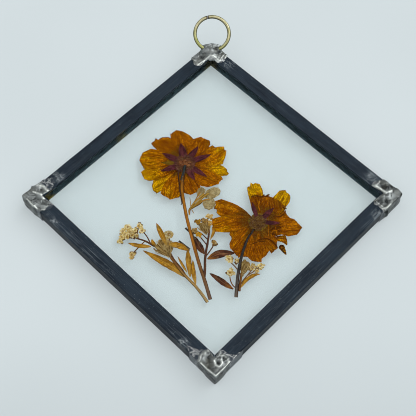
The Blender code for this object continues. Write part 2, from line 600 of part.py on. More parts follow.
def build_specimens():
    amber = ((0.40, 0.16, 0.012), 0.6)
    pale = ((0.45, 0.38, 0.24), 0.6)
    purple = ((0.09, 0.025, 0.03), 0.7)
    build_petals("left_bloom", LEFT_BLOOM, PETAL_ROOT, PETAL_CLAW, amber)
    build_calyx("left_bloom_calyx", LEFT_BLOOM, purple)
    build_petals("right_bloom", RIGHT_BLOOM, PETAL_ROOT, PETAL_CLAW, amber)
    build_calyx("right_bloom_calyx", RIGHT_BLOOM, purple)
    build_petals("pale_bloom", PALE_BLOOM, PALE_ROOT, PALE_CLAW, pale)
    for name, (layer, outline) in CURLED_SCRAPS.items():
        add_part(name, flat_mesh(outline, *layer_heights(layer)), amber)
    for name, (middle, flatten, start, end, route) in STEMS.items():
        add_part(name, pressed_tube(route, start, end, middle, flatten, 3), ((0.16, 0.10, 0.05), 0.7))
    build_sprig("left_sprig", SPRIGS["left_sprig"], ((0.42, 0.24, 0.05), 0.7))
    build_sprig("middle_sprig", SPRIGS["middle_sprig"], ((0.14, 0.05, 0.015), 0.7))
    build_sprig("right_sprig", SPRIGS["right_sprig"], ((0.16, 0.06, 0.015), 0.7))


def place_carrier():
    """Bring the middle of the whole frame over the origin."""
    ring_reach = RING_MIDDLE[1] + RING_RADIUS * math.cos(RING_TILT) + RING_WIRE / 2
    carrier.location.y = -(ring_reach - SOLDER_TIP) / 2 * MM


clear_scene()
parts = new_collection(PARTS)
cutters = new_collection(CUTTERS)
carrier = bpy.data.objects.new("frame_middle", None)
parts.objects.link(carrier)
build_cames()
build_glass()
build_solder()
build_ring()
build_specimens()
place_carrier()
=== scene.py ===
# Looks of the pressed flower frame: dried blooms and sprigs between two panes, in black cames with
# soldered corners and a brass ring. Tables are in millimetres, with places in plan from the middle of
# the square, as in the part's own source. A specimen's height is above the back pane, and a corner's
# above the surface that the frame lies on. A colour of three values is sRGB, and one of four linear.
import math
import random

import bmesh
import bpy
import numpy as np
from mathutils import Matrix, Quaternion, Vector, noise


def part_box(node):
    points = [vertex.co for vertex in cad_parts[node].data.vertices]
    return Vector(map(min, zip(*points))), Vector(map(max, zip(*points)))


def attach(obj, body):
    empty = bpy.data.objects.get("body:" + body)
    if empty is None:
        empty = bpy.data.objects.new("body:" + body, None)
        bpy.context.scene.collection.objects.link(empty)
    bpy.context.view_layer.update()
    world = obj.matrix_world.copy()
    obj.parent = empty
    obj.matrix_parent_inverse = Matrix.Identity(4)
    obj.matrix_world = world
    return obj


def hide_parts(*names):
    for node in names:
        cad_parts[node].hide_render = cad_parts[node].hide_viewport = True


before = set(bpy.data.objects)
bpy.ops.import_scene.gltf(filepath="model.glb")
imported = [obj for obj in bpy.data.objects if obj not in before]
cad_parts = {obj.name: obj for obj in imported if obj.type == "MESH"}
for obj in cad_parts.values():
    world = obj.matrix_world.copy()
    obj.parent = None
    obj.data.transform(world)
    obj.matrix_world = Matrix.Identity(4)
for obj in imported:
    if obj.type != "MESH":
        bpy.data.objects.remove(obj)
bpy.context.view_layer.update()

MM = 0.001
HALF = math.sqrt(0.5)


def corners_mm(node):
    """A node's lowest and highest corners in millimetres."""
    return tuple(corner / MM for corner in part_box(node))


# ---------------------------------------------------------------- places that the frame gives
SQUARE_Y = sum(corner.y for corner in corners_mm("back_glass")) / 2
POCKET = corners_mm("back_glass")[1].z
ROOF = corners_mm("front_glass")[0].z
CAME_BACK = corners_mm("came_upper_left")[0].z
CAME_FRONT = corners_mm("came_upper_left")[1].z
CAME_DEPTH = CAME_FRONT - CAME_BACK

# ---------------------------------------------------------------- driving dimensions (millimetres)
SIDE = 114.3
CAME_FACE = 6.35
CAME_WALL = 0.8
CAME_ROUND = 0.9          # of the came's outer edges
CAME_INSET = 0.03         # of the fine came inside its solid
CAME_STEPS = 260          # of the fine came's mesh along it
MITRE_GAP = 0.1
RING_RADIUS = 7.9
RING_WIRE = 1.5
RING_TILT = math.radians(24)
RING_MIDDLE = (0.6, 82.7)
RING_SPLIT = math.radians(105)
RING_SPLIT_WIDTH = 0.14
RING_SHOWN_WIRE = 1.66    # the wire as drawn, a little thicker than the part's
RING_STEPS = 180          # of the ring's mesh round it
RING_FOOT = CAME_FRONT + 0.1 + RING_WIRE / 2 + 0.15
RING_HEIGHT = RING_FOOT + RING_RADIUS * math.sin(RING_TILT)

LAYER_PITCH = 0.19
LAYER_START = 0.05
CEILING = ROOF - 0.03     # the highest that a specimen's skin may reach
PETAL_CEILING = ROOF - 0.05
SHEET_THICK = 0.07        # of a petal or leaf
BRACT_THICK = 0.10
RECEPTACLE_THICK = 0.16
SCRAP_RISE = 0.14         # of a curled scrap above the start of its layer
LEAF_RISE = 0.08          # of a leaf above it

TWIG_HEIGHT = POCKET + 0.60
TWIG_FLATTEN = 0.34
SIDE_TWIG_TONE = 0.62     # where the side twigs' colour lies on the ramp of the main one's
FLORET_HEIGHT = TWIG_HEIGHT + 0.22
FLORET_THICK = 0.05
FLORET_GROWTH = 1.05      # how much wider a floret is than listed
HUSK_RADIUS = 1.9         # a floret listed wider than this is a brown, papery husk
HUSK_BROWN = 0.40
BUDS = 7                  # about each floret
BEADS = 6                 # in the middle of each floret
TUFT_HEIGHT = TWIG_HEIGHT + 0.08
HEAP_THICK = 0.12         # of the heap under a tuft
FIBRES = 15               # in a tuft, for each square millimetre of its half width times half depth

PETAL_BOW = 0.09          # how far a petal's sides bow out, of its length
PETAL_SPACING = 0.36      # between the points of a petal's mesh
PLEAT_WIDTH = 1.6
PLEAT = 0.034             # height of a petal's pleats
CRINKLE = 0.030           # height of its fine wrinkles
RIM_TEETH = 0.42          # depth of the torn edge's fine teeth

SOLDER_VOXEL = 0.21
SOLDER_SMOOTHING = 9

# ---------------------------------------------------------------- camera, from the photo's perspective
CAMERA_PLACE = (-4.51, -208.75, 379.77)
CAMERA_AIM = (-2.02, -6.97, 0.60)
CAMERA_ROLL = math.radians(0.21)
CAMERA_LENS = 85.9
KEY_LIGHT = (0.50, 0.38, 0.78)       # towards the soft main light
DARK_CARD = (0.0, 0.57, 0.82)        # towards a dark card, whose reflection keeps the panes clear

# ---------------------------------------------------------------- tables of the specimens
# A bloom's petals start at its root, that far from its middle, as wide as its claw. A petal: layer, torn
# rim clockwise, how yellow its tip is, how brown it is all over and how much of it is a darker base.
# A bract: tip and width. All bracts of a bloom have one height. The heart is the ridged middle of the
# receptacle: place, half width and half depth.
LEFT_BLOOM = {
    "middle": (-12, 17.3),
    "root": 2.6,
    "claw": 1.3,
    "petals": [
        (1, [(-18.5, 33), (-15.7, 35), (-13, 34.3), (-10, 32.4), (-8.2, 30.2)], 0.15, 0.3, 0.45),
        (2, [(-8, 30.2), (-5, 31.2), (-2.5, 30), (-0.8, 29.2), (-0.7, 27.2)], 0.1, 0.35, 0.25),
        (0, [(-0.8, 26.2), (0.3, 27), (1.7, 25.5)], 0.3, 0.25, 0.15),
        (1, [(1.7, 25.4), (3.2, 26.2), (5.3, 26.2), (5.6, 24.6), (6.5, 24), (5.8, 20.5), (4.7, 17.2)], 0.6,
            0.1, 0.15),
        (0, [(4.6, 16.3), (6.2, 15), (7.2, 12.2), (6.5, 11.5), (4.5, 11.2)], 0.95, 0.05, 0.1),
        (2, [(4.2, 10.5), (4.5, 9.3), (3, 8.1), (2.8, 7), (0, 6), (-2, 5.5), (-4.7, 6.1)], 0.25, 0.25, 0.3),
        (1, [(-5.2, 5.5), (-7, 3), (-9.5, 1.8), (-12.3, 2.8)], 0.2, 0.35, 0.3),
        (2, [(-14.5, 0.5), (-18.5, -0.5), (-20.5, 0.9), (-22.5, 2.6)], 0.35, 0.2, 0.3),
        (0, [(-24.2, 2.7), (-25.8, 4.3), (-26.3, 6.5), (-25.8, 9)], 1, 0, 0.1),
        (1, [(-27.5, 8.9), (-29.6, 9.8), (-31.3, 13.4), (-29.8, 14.6)], 0.65, 0.1, 0.2),
        (2, [(-30, 15), (-32, 19.3), (-31.2, 22.3), (-30, 23.6), (-27.4, 25)], 0.35, 0.12, 0.3),
        (0, [(-27, 28), (-25.4, 29.8), (-25, 31), (-24, 30), (-22, 31.5), (-19, 31.3)], 0.2, 0.3, 0.5),
    ],
    "disc": 4.6,
    "heart": (-12, 17.4, 3, 1.9),
    "mottle": 0.62,
    "olive_rim": 0,
    "bracts": [(-13.8, 27.7, 3.4), (-6, 26, 2.6), (-0.4, 21.8, 2.6), (-2.3, 10.6, 2.4), (-7.7, 8.9, 2.6),
        (-22.5, 13.6, 2.6), (-22.5, 17.7, 1.8), (-22, 22.6, 2.8)],
    "olive_bracts": (6,),
    "bract_height": 0.8,
}
RIGHT_BLOOM = {
    "middle": (19.3, -11.9),
    "root": 2.6,
    "claw": 1.3,
    "petals": [
        (3, [(3.2, -8.7), (2.3, -8.2), (1.3, -6.8), (1.5, -5.3), (0.3, -5), (1.2, -3.5), (0.8, -1.5),
            (3.5, -0.4), (5, -1.3)], 0.3, 0.3, 0.45),
        (2, [(17.5, 0), (14.9, 5), (15.1, 5.7), (16.2, 6), (16.5, 7.6), (17.8, 6.9), (18.5, 7.5), (20.5, 7),
            (21.6, 4), (21, 0)], 1.15, 0, 0.58),
        (4, [(16.5, -4.2), (16, -1.5), (16.6, 0.6), (20.8, 0.6), (22.5, 1), (24, 0.8), (26.5, -0.4),
            (28.5, -1.5), (30.9, -4.4)], 0.05, 0.5, 0.55),
        (3, [(26.2, -0.8), (27, 1), (28.5, 3), (29, 3.6), (31.5, 3.7), (32, 2.4), (33.3, 1.5), (33.5, 0),
            (33, -2.2), (31, -5)], 1.25, 0, 0.5),
        (2, [(30.8, -6.5), (33, -9.8), (34.5, -10.3), (37, -13.3), (37.9, -14.2), (37.3, -15.5),
            (35.3, -17.8), (32, -18.5), (29.5, -17.4), (27.5, -18)], 0.15, 0.35, 0.42),
        (4, [(27, -20.5), (26.6, -22.6), (27, -24.3), (26, -25), (24.2, -26.7), (23.7, -25)], 0.1, 0.5,
            0.5),
        (3, [(23.5, -25), (22, -27.5), (20, -29), (20, -30.5), (18, -30.3), (16, -30), (14, -28),
            (11.5, -28)], 0.2, 0.35, 0.32),
        (2, [(10.5, -28.5), (9, -26.5), (7, -24), (6.5, -22.5), (7, -21), (7.7, -19.5), (6.8, -17.5),
            (7, -16)], 0.25, 0.35, 0.3),
        (4, [(3, -16.4), (0.5, -16.2), (-0.5, -14.5), (-0.3, -12), (-0.6, -10.5), (0.8, -9.7), (5, -8.6)],
            0.3, 0.15, 0.35),
    ],
    "disc": 4.3,
    "heart": (18.6, -11.9, 0, 1),
    "mottle": 1,
    "olive_rim": 1,
    "bracts": [(16.7, -2.4, 1.7), (26.2, -5, 2.2), (28.5, -12.7, 1.8)],
    "olive_bracts": (),
    "bract_height": 1.26,
}
PALE_BLOOM = {
    "middle": (-4.3, -0.2),
    "root": 1.2,
    "claw": 0.8,
    "petals": [
        (3, [(-1.8, 4.2), (0.2, 5.4), (2.6, 5.2), (3.6, 3.6), (3, 1.6), (1, 0.3)], 0, 0.1, 0),
        (4, [(0.6, -0.6), (1.3, -2.6), (0.6, -4.8), (-1.4, -6), (-3.4, -5.2), (-4.2, -3.2)], 0, 0.3, 0),
        (4, [(-6.6, 1), (-7, 2.8), (-6.2, 4.8), (-4.6, 5.4), (-3, 4.2)], 0, 0.8, 0),
    ],
}
# Strips and folds on torn petals: width, height, shade, dark edge (0 to 1) and route.
PETAL_STRANDS = {
    "right_bloom_petal_03": [
        (0.8, 0.98, 0.05, 1, [(21.4, 0.2), (21.8, 0.9), (22.3, 1.4)]),
        (0.9, 0.98, 0.05, 1, [(22.8, 0.2), (23.6, 0.9), (24.5, 1.5)]),
        (0.7, 0.96, 0.08, 0.8, [(16.4, 0.4), (18.6, 0.9), (21, 0.3), (23.5, 0.5)]),
        (0.5, 0.98, 0.35, 0.2, [(20.2, -1), (19.7, -4), (20, -6.6)]),
        (0.5, 0.98, 0.3, 0.3, [(24.5, -7.6), (28, -8.3), (30.6, -6), (31.2, -3.4)]),
        (0.45, 0.98, 0.1, 0.8, [(25.8, -9), (28.6, -9.2), (30.6, -7.6), (31.2, -6.2)]),
        (0.4, 0.98, 0.42, 0.1, [(26.6, -6.5), (28.6, -6.8), (29.8, -4.8), (29.6, -2.6)]),
        (0.6, 0.98, 0.06, 0.9, [(29.6, -4.6), (30.6, -5.4), (31.6, -5.6)]),
    ],
    "right_bloom_petal_06": [
        (0.45, 1.12, 0.36, 0, [(23, -9.6), (23.5, -12), (23.3, -16), (23.4, -20.2)]),
        (0.35, 1.1, 0.04, 0.9, [(24, -11.2), (24.2, -14.5), (23.9, -17.6)]),
        (0.7, 1.08, 0.03, 1, [(24.4, -15.8), (26, -14.6), (27.6, -13.9), (28.9, -14.6)]),
        (0.55, 1.12, 0.34, 0.1, [(24.2, -17.2), (26, -16), (28.6, -15.6)]),
        (0.6, 1.1, 0.03, 1, [(25, -18.4), (25.4, -16.6), (26.8, -15.4), (28.2, -16.6)]),
        (0.45, 1.13, 0.4, 0, [(25.4, -13.2), (26.4, -14.4), (26.6, -16.8), (27.8, -18.4)]),
        (0.6, 1.08, 0.05, 0.9, [(25.8, -17.6), (27.2, -18.9), (28.6, -18.4)]),
        (0.5, 1.06, 0.05, 0.9, [(18.2, -20.6), (20.8, -19.8), (23, -19.9), (25.4, -21.6), (27, -24)]),
        (0.45, 1.06, 0.08, 0.8, [(15.6, -22.5), (18.8, -21.2), (22, -21)]),
    ],
}
# A scrap: layer, shade, how much painted overlap shade darkens its fold, and its outline.
CURLED_SCRAPS = {
    "right_bloom_curled_petal": (3, 0.3, 0, [(25.2, -20.6), (25.9, -19.3), (28.2, -18.5), (30.3, -18.2),
        (31.1, -20.8), (30.9, -22.8), (29.4, -21.7), (27.4, -20.9)]),
    "right_bloom_curled_tip": (3, 0, 14, [(27.2, -24), (28, -22.7), (29.5, -22.8), (30.1, -24.3),
        (30.5, -27), (29.8, -27), (28.6, -25.6)]),
}
# A stem: height of its middle, flattening, width at both ends and route.
STEMS = {
    "left_bloom_stem": (1.1, 0.33, 1.2, 1.5, [(-12.3, 15.5), (-13, 9), (-13.2, 5), (-12.7, 0), (-11, -10),
        (-8.7, -20), (-6.3, -30), (-3.4, -40), (-1.5, -47.2)]),
    "right_bloom_stem": (1.16, 0.22, 0.8, 1.45, [(17.2, -15.2), (16.1, -17.2), (14.6, -19.5), (12.6, -25),
        (11, -31), (9.8, -38), (9, -46.3)]),
    "pale_bloom_stalk": (0.66, 0.18, 2, 0.7, [(-4.6, -0.9), (-6, -2.4), (-8.3, -4), (-9.9, -5.6),
        (-10, -8)]),
    "short_stalk_upper": (0.52, 0.35, 0.9, 0.7, [(-11.7, -14.2), (-9.5, -16.6), (-7.5, -19.5)]),
    "short_stalk_lower": (0.52, 0.35, 0.8, 0.7, [(-14.4, -20.3), (-12, -22.3), (-9.8, -24.2)]),
}
STEM_SLOTS = {"left_bloom_stem": "brown_stem", "pale_bloom_stalk": "golden_leaf"}
# Strands of a stem's torn skin: height of the middle, width at both ends, shade and route.
STRANDS = {
    "pale_bloom_stalk": [
        (0.9, 0.6, 1.1, 0.3, [(-9.8, -5.4), (-8.3, -2.8), (-6, -0.2), (-3.6, 2)]),
        (0.96, 0.5, 1.1, 0, [(-8.6, -4.4), (-6.6, -2.2), (-4.4, 0), (-1.8, 2.2)]),
        (0.92, 0.5, 0.9, 0.9, [(-8.2, -4.2), (-5.6, -2.4), (-3.4, -1), (-1.4, -0.8)]),
        (0.86, 0.3, 0.8, 1, [(-7.8, -1.6), (-6.6, 0.6), (-5.4, 3)]),
        (0.7, 0.25, 0.4, 0.2, [(-9.8, 0.4), (-9.5, -2.4), (-9.4, -4.4)]),
        (0.7, 0.25, 0.4, 0.2, [(-8, -7.4), (-9, -5.6)]),
    ],
    "left_bloom_stem": [
        (1.2, 1.25, 0.7, 0, [(-11.8, 16.2), (-12.4, 13), (-13.2, 10.2), (-13.6, 8.6)]),
        (1.14, 0.55, 0.4, 0.02, [(-14.9, 14), (-14.7, 10), (-14.2, 5), (-13.7, 0.5), (-13.2, -2.4),
            (-13.6, -3.4)]),
    ],
}
# A sprig: twigs (start width, end width, route), florets (x, y, radius), leaves (layer, width, route),
# a tuft (middle, half sizes, root), the least and most yellow and brown of its florets, and the core
# of their cluster.
SPRIGS = {
    "left_sprig": {
        "twigs": [
            (1.3, 0.6, [(-2.7, -48.2), (-5, -44.5), (-8, -40.5), (-12, -36), (-15, -32), (-18.5, -27),
                (-21, -24.5), (-25, -22.5), (-28.5, -20.3), (-32, -19), (-34.5, -17.6)]),
            (0.7, 0.6, [(-11.6, -36.2), (-13.2, -33.2), (-16.6, -28.6), (-18.4, -24), (-18.5, -18.5)]),
            (0.5, 0.45, [(-26, -22), (-28, -18), (-30, -15.5)]),
            (0.5, 0.45, [(-28.8, -20.4), (-33, -25.2), (-34, -26.5)]),
            (0.5, 0.45, [(-31.5, -19.1), (-32, -16.5), (-31.3, -13.2)]),
            (0.5, 0.45, [(-32, -19), (-34.4, -16), (-36, -13.6)]),
            (0.5, 0.45, [(-33.8, -18.1), (-36.5, -16.9), (-38.2, -15.5)]),
            (0.5, 0.45, [(-32.6, -18.8), (-36, -18.9), (-39, -20.4)]),
        ],
        "florets": [(-36, -13.5, 1.4), (-38.2, -15.6, 1.3), (-38.4, -18.4, 1.2), (-39, -20.6, 1),
            (-36.3, -18.3, 1.2), (-35.2, -15.9, 1.5), (-33, -15.3, 1.2), (-31.3, -13, 1.2),
            (-30, -15.5, 1.3), (-34, -26.6, 1.4), (-18.5, -17.4, 2), (-37.1, -17, 1.2), (-34.2, -17.7, 1.2),
            (-32.2, -17.6, 1)],
        "leaves": {
            "left_sprig_leaf_long": (1, 3.4, [(-10.8, -37.2), (-16.7, -32.4), (-22.2, -28.9),
                (-29.5, -24.5)]),
            "left_sprig_leaf_outer": (4, 1.9, [(-26, -23), (-31, -22.6), (-35.8, -21.3)]),
            "left_sprig_leaf_upright": (4, 2.3, [(-19.6, -22.3), (-21.9, -16.9), (-24, -12)]),
            "left_sprig_leaf_small": (5, 1.5, [(-24, -22.5), (-25.2, -21.4), (-25.8, -19.6)]),
            "left_sprig_leaf_inner": (4, 2.8, [(-18.5, -22), (-14.5, -22.6), (-9.8, -25.2)]),
            "left_sprig_leaf_lower": (1, 2.5, [(-9.7, -36.6), (-10.3, -30), (-10.8, -23.8)]),
            "left_sprig_leaf_beside_stem": (4, 1.7, [(-7.4, -40.4), (-8.3, -35), (-8.6, -29.3)]),
            "left_sprig_leaf_narrow": (5, 1, [(-11, -35), (-12.9, -31.6), (-14.9, -27.7)]),
        },
        "tuft": ((-20.4, -23.4), (4.9, 4.8), (-18, -28.4)),
        "yellow": (-0.1, 0.35),
        "brown": (-0.2, 0.2),
        "core": (-34, -17.2),
    },
    "middle_sprig": {
        "twigs": [
            (1.2, 0.6, [(-4, -38), (-3.6, -33), (-3.5, -29), (-3, -25), (-2.3, -21), (-1.8, -17),
                (-1.8, -14), (-2.4, -11), (-1.8, -9)]),
            (0.5, 0.45, [(-1.9, -15), (-4.2, -13), (-6.3, -11.5)]),
            (0.5, 0.45, [(-2.1, -20), (-5, -16.9), (-7.6, -15.6)]),
            (0.5, 0.45, [(-2.6, -22.4), (-4.8, -19.4), (-6.2, -17.6)]),
            (0.6, 0.45, [(-3.3, -27.8), (-0.6, -23.8), (0.4, -21.4)]),
        ],
        "florets": [(-6.3, -11.5, 1.2), (-3.4, -10.9, 1.2), (-1.5, -9, 1.2), (-7.8, -15.5, 1.2),
            (-6.3, -17.5, 1.1), (0.4, -21.3, 1.1), (-1.1, -12.4, 1.1)],
        "leaves": {
            "middle_sprig_leaf_left": (0, 2.8, [(-3.8, -26.2), (-5.9, -22.6), (-7.8, -18)]),
            "middle_sprig_leaf_golden": (5, 1.2, [(-1.2, -20), (0.2, -16.5), (-0.3, -14)]),
            "middle_sprig_leaf_right": (1, 3.6, [(-2.5, -28.6), (3, -26.3), (9, -26)]),
        },
        "tuft": ((-3.6, -14), (3, 3.1), (-2.4, -18.5)),
        "yellow": (0.5, 1.2),
        "brown": (-0.2, 0.5),
        "core": (-3.8, -12.6),
    },
    "right_sprig": {
        "twigs": [
            (1.1, 0.7, [(10.4, -43.4), (10.8, -40), (11.5, -36), (12.5, -31.8), (12.8, -29.2)]),
            (0.5, 0.45, [(11.4, -36.4), (9.4, -33), (7, -30.2), (6.5, -29.2)]),
            (0.5, 0.45, [(10.5, -43), (8, -41), (6.9, -38.5), (6.6, -35.4)]),
            (0.5, 0.45, [(10.8, -40.6), (12.6, -38), (15, -35), (16.3, -33.2)]),
            (0.5, 0.45, [(13.8, -36.5), (16.9, -34.4), (19.4, -32.2)]),
            (0.5, 0.45, [(12.2, -33), (11.2, -31), (9.9, -29.7)]),
        ],
        "florets": [(6.5, -29, 1.5), (6.6, -35.2, 1.5), (16.2, -33, 1.5), (19.5, -32.1, 1.35),
            (9.9, -29.7, 1.1), (18, -34.4, 0.9)],
        "leaves": {
            "right_sprig_leaf_left": (4, 2.5, [(7.9, -42.6), (4.6, -40.2), (1.5, -37.7), (-1.7, -35.4)]),
            "right_sprig_leaf_right": (1, 1.6, [(10.8, -42), (13.4, -38.4), (16.6, -36.2), (19.3, -35.7)]),
        },
        "tuft": ((13.2, -32.4), (2.2, 3.6), (11.3, -38)),
        "yellow": (0, 0.4),
        "brown": (-0.1, 0.2),
        "core": (14.4, -34),
    },
}
BROWN_LEAVES = ("middle_sprig_leaf_left", "middle_sprig_leaf_right", "right_sprig_leaf_left")

# ---------------------------------------------------------------- tables of the frame
ARM_STATIONS = (-0.6, 1.3, 3.4, 5.2, CAME_FACE)   # distances in from the outer edge
# A corner: its turn in degrees from the ring's corner; for its left and its right arm, how far solder
# runs at each station, how far it covers the patina fully and from where it lies close on the came's
# side; the distance out beyond which its tip is pressed in, if it is; how much painted shade darkens
# it all (below 0, painted light brightens it) and how much painted shade darkens its side; lumps
# (place, half sizes); ridges with a painted highlight (radius, height, route); pits with painted shade
# (place in plan, radius, depth).
SOLDER_CORNERS = {
    "solder_top": {
        "turn": 0,
        "arms": ((12.6, 13.6, 14.6, 14, 13), (10.5, 11.2, 12.2, 11.5, 10.4)),
        "covered": (13.5, 11),
        "close": (4, 4.5),
        "crown": 77.4,
        "painted_shade": -0.05,
        "side": 0.2,
        "lumps": [
            ((-0.4, 75, 9.2), (4.8, 2.4, 1.8)),
            ((-3.6, 76.2, 9.8), (2, 1.6, 1.35)),
            ((3.2, 75.6, 9.7), (1.8, 1.6, 1.35)),
            ((0, 73, 8.6), (4.4, 2.8, 1.2)),
        ],
        "ridges": [
            (0.34, 0.2, [(-8, 66.8), (-5.4, 68.4), (-2.4, 70.8), (-0.3, 72.4), (1.2, 72), (5.6, 68.8)]),
        ],
        "pits": [(2.2, 75.4, 1.6, 0.2), (-4.2, 71.8, 1.4, 0.12)],
    },
    "solder_left": {
        "turn": 90,
        "arms": ((11, 11.2, 12.9, 12.9, 12.2), (11, 13.5, 17, 13, 10.8)),
        "covered": (11.8, 9.3),
        "close": (6.5, 5),
        "painted_shade": 0,
        "side": 0.35,
        "lumps": [((-76.3, 4.2, 8), (1.8, 2, 0.5))],
        "ridges": [
            (0.4, 0.2, [(-79, -1.6), (-77.2, -3.8), (-74.6, -6.2)]),
            (0.45, 0.22, [(-71.9, -6.9), (-70.2, -7), (-68.8, -6), (-67.9, -4.2)]),
            (0.45, 0.25, [(-75.2, 5.2), (-72.4, 4.4), (-70.4, 2), (-68.9, 2.4)]),
            (0.35, 0.15, [(-76.6, 1.8), (-73.4, 0.6), (-72, -1.6)]),
        ],
        "pits": [(-73.4, 2.4, 1.1, 0.35), (-75.4, -1.2, 1.3, 0.25)],
    },
    "solder_bottom": {
        "turn": 180,
        "arms": ((16, 11.5, 10.5, 10.2, 9.6), (13, 18, 12.5, 11, 9.8)),
        "covered": (9, 10.3),
        "close": (4, 4),
        "painted_shade": 0.16,
        "side": 0.45,
        "lumps": [((-2.4, -77.4, 8), (1.3, 2.8, 0.6)), ((2.6, -77, 8), (1.2, 2.8, 0.6))],
        "ridges": [
            (0.34, 0.35, [(-5.6, -75.3), (-3.2, -77.7), (0.2, -80.6), (2.6, -78.4), (5, -75.9)]),
            (0.38, 0.25, [(5, -75.6), (8.4, -72.2), (12, -68.8)]),
            (0.32, 0.18, [(-0.3, -74.4), (0.3, -76.2), (1.6, -76.9), (2.9, -75.4), (2.4, -73.8)]),
            (0.4, 0.18, [(-9.4, -69.8), (-7.2, -71.2), (-6, -69.4)]),
        ],
        "pits": [(1.4, -75.2, 0.9, 0.45), (-2.6, -73.6, 1.4, 0.2)],
    },
    "solder_right": {
        "turn": 270,
        "arms": ((10, 10.6, 12, 12.9, 12.5), (14, 12, 12.2, 12.6, 11.5)),
        "covered": (11.5, 11.8),
        "close": (2, 10),
        "painted_shade": 0.2,
        "side": 0.2,
        "lumps": [((78.4, -1.2, 7.8), (1.4, 1.8, 0.6)), ((73.4, -7, 4.2), (2, 2, 3.4))],
        "ridges": [
            (0.45, 0.25, [(70.2, -6.6), (71.8, -7.4), (73.6, -7.2), (75.3, -5.6)]),
            (0.3, 0.12, [(67.9, -5.4), (69.2, -7.6), (71.2, -8.6)]),
            (0.4, 0.2, [(69.8, 3.4), (71.8, 2.2), (73.8, 0.2), (76.4, 1)]),
        ],
        "pits": [(73.6, -3.6, 1.2, 0.35), (74, 3, 1.5, 0.2)],
    },
}
# Brassy spots inside the cames, seen through the panes: place, reach and strength.
GILT_SPOTS = [(-70.5, 0.5, 5, 1), (-40, 32, 4, 0.5), (0, 71, 5, 0.6)]
# Where the outer half of a came's face is worn to bare metal: place, reach and strength.
WORN_SPOTS = [(-68, -12, 9, 0.75), (-60, -20, 8, 0.6), (-52, -28, 8, 0.5), (-44, -36, 7, 0.3),
    (66, -14, 7, 0.5), (-16, -64, 7, 0.4)]
# Where solder is smeared thinly over the whole of a face: place, reach and strength.
SMEARS = [(69, 8, 6, 0.95), (8.4, 68.2, 4.5, 0.85), (69.4, -10.2, 5, 0.9), (-12.8, -67, 4.5, 0.95),
    (-66.9, 9.4, 5, 1)]
# A came: its turn about the middle in degrees and how worn its face is.
CAMES = {
    "came_upper_right": (45, 0.12),
    "came_upper_left": (135, 0.1),
    "came_lower_left": (225, 0.1),
    "came_lower_right": (315, 0.12),
}


# ---------------------------------------------------------------- materials
def srgb(red, green, blue):
    """A linear colour from sRGB values out of 255."""
    def linear(value):
        value /= 255
        return value / 12.92 if value <= 0.04045 else ((value + 0.055) / 1.055) ** 2.4
    return (linear(red), linear(green), linear(blue), 1.0)


class Value:
    """An output in a node tree, which can be reckoned with."""

    def __init__(self, nodes, socket):
        self.nodes = nodes
        self.socket = socket

    def __add__(self, other):
        return self.nodes.math("ADD", self, other)

    def __sub__(self, other):
        return self.nodes.math("SUBTRACT", self, other)

    def __rsub__(self, other):
        return self.nodes.math("SUBTRACT", other, self)

    def __mul__(self, other):
        return self.nodes.math("MULTIPLY", self, other)

    def most(self, other):
        return self.nodes.math("MAXIMUM", self, other)


class Nodes:
    """A node tree, with short ways to add to it."""

    def __init__(self, tree):
        self.tree = tree

    def set(self, node, inputs):
        for key, value in inputs.items():
            if isinstance(value, Value):
                self.tree.links.new(value.socket, node.inputs[key])
            else:
                node.inputs[key].default_value = value

    def node(self, kind, inputs, **settings):
        node = self.tree.nodes.new("ShaderNode" + kind)
        for key, value in settings.items():
            setattr(node, key, value)
        self.set(node, inputs)
        return node

    def add(self, output, kind, inputs, **settings):
        """Add a node and return one of its outputs."""
        return Value(self, self.node(kind, inputs, **settings).outputs[output])

    def math(self, operation, first, second=0.0):
        return self.add(0, "Math", {0: first, 1: second}, operation=operation)

    def vector(self, x, y, z):
        return self.add(0, "CombineXYZ", {"X": x, "Y": y, "Z": z})

    def split(self, vector):
        """A vector's three numbers."""
        return [Value(self, socket) for socket in self.node("SeparateXYZ", {"Vector": vector}).outputs]

    def steps(self, value, low, high, start=0.0, end=1.0):
        """A smooth rise of start to end while the value goes from low to high."""
        return self.add("Result", "MapRange", {"Value": value, "From Min": low, "From Max": high,
                                               "To Min": start, "To Max": end},
                        interpolation_type="SMOOTHSTEP")

    def ramp(self, value, stops):
        """A colour for the value, from stops of a position and a linear colour."""
        node = self.node("ValToRGB", {"Fac": value})
        elements = node.color_ramp.elements
        while len(elements) < len(stops):
            elements.new(0.5)
        for element, (position, colour) in zip(elements, stops):
            element.position = position
            element.color = colour
        return Value(self, node.outputs["Color"])

    def blend(self, factor, first, second, mode="MIX"):
        """A mix of two colours, each an output, a linear colour or three sRGB values."""
        first, second = (srgb(*colour) if isinstance(colour, tuple) and len(colour) == 3 else colour
                         for colour in (first, second))
        return self.add(2, "Mix", {"Factor": factor, 6: first, 7: second}, data_type="RGBA",
                        blend_type=mode)


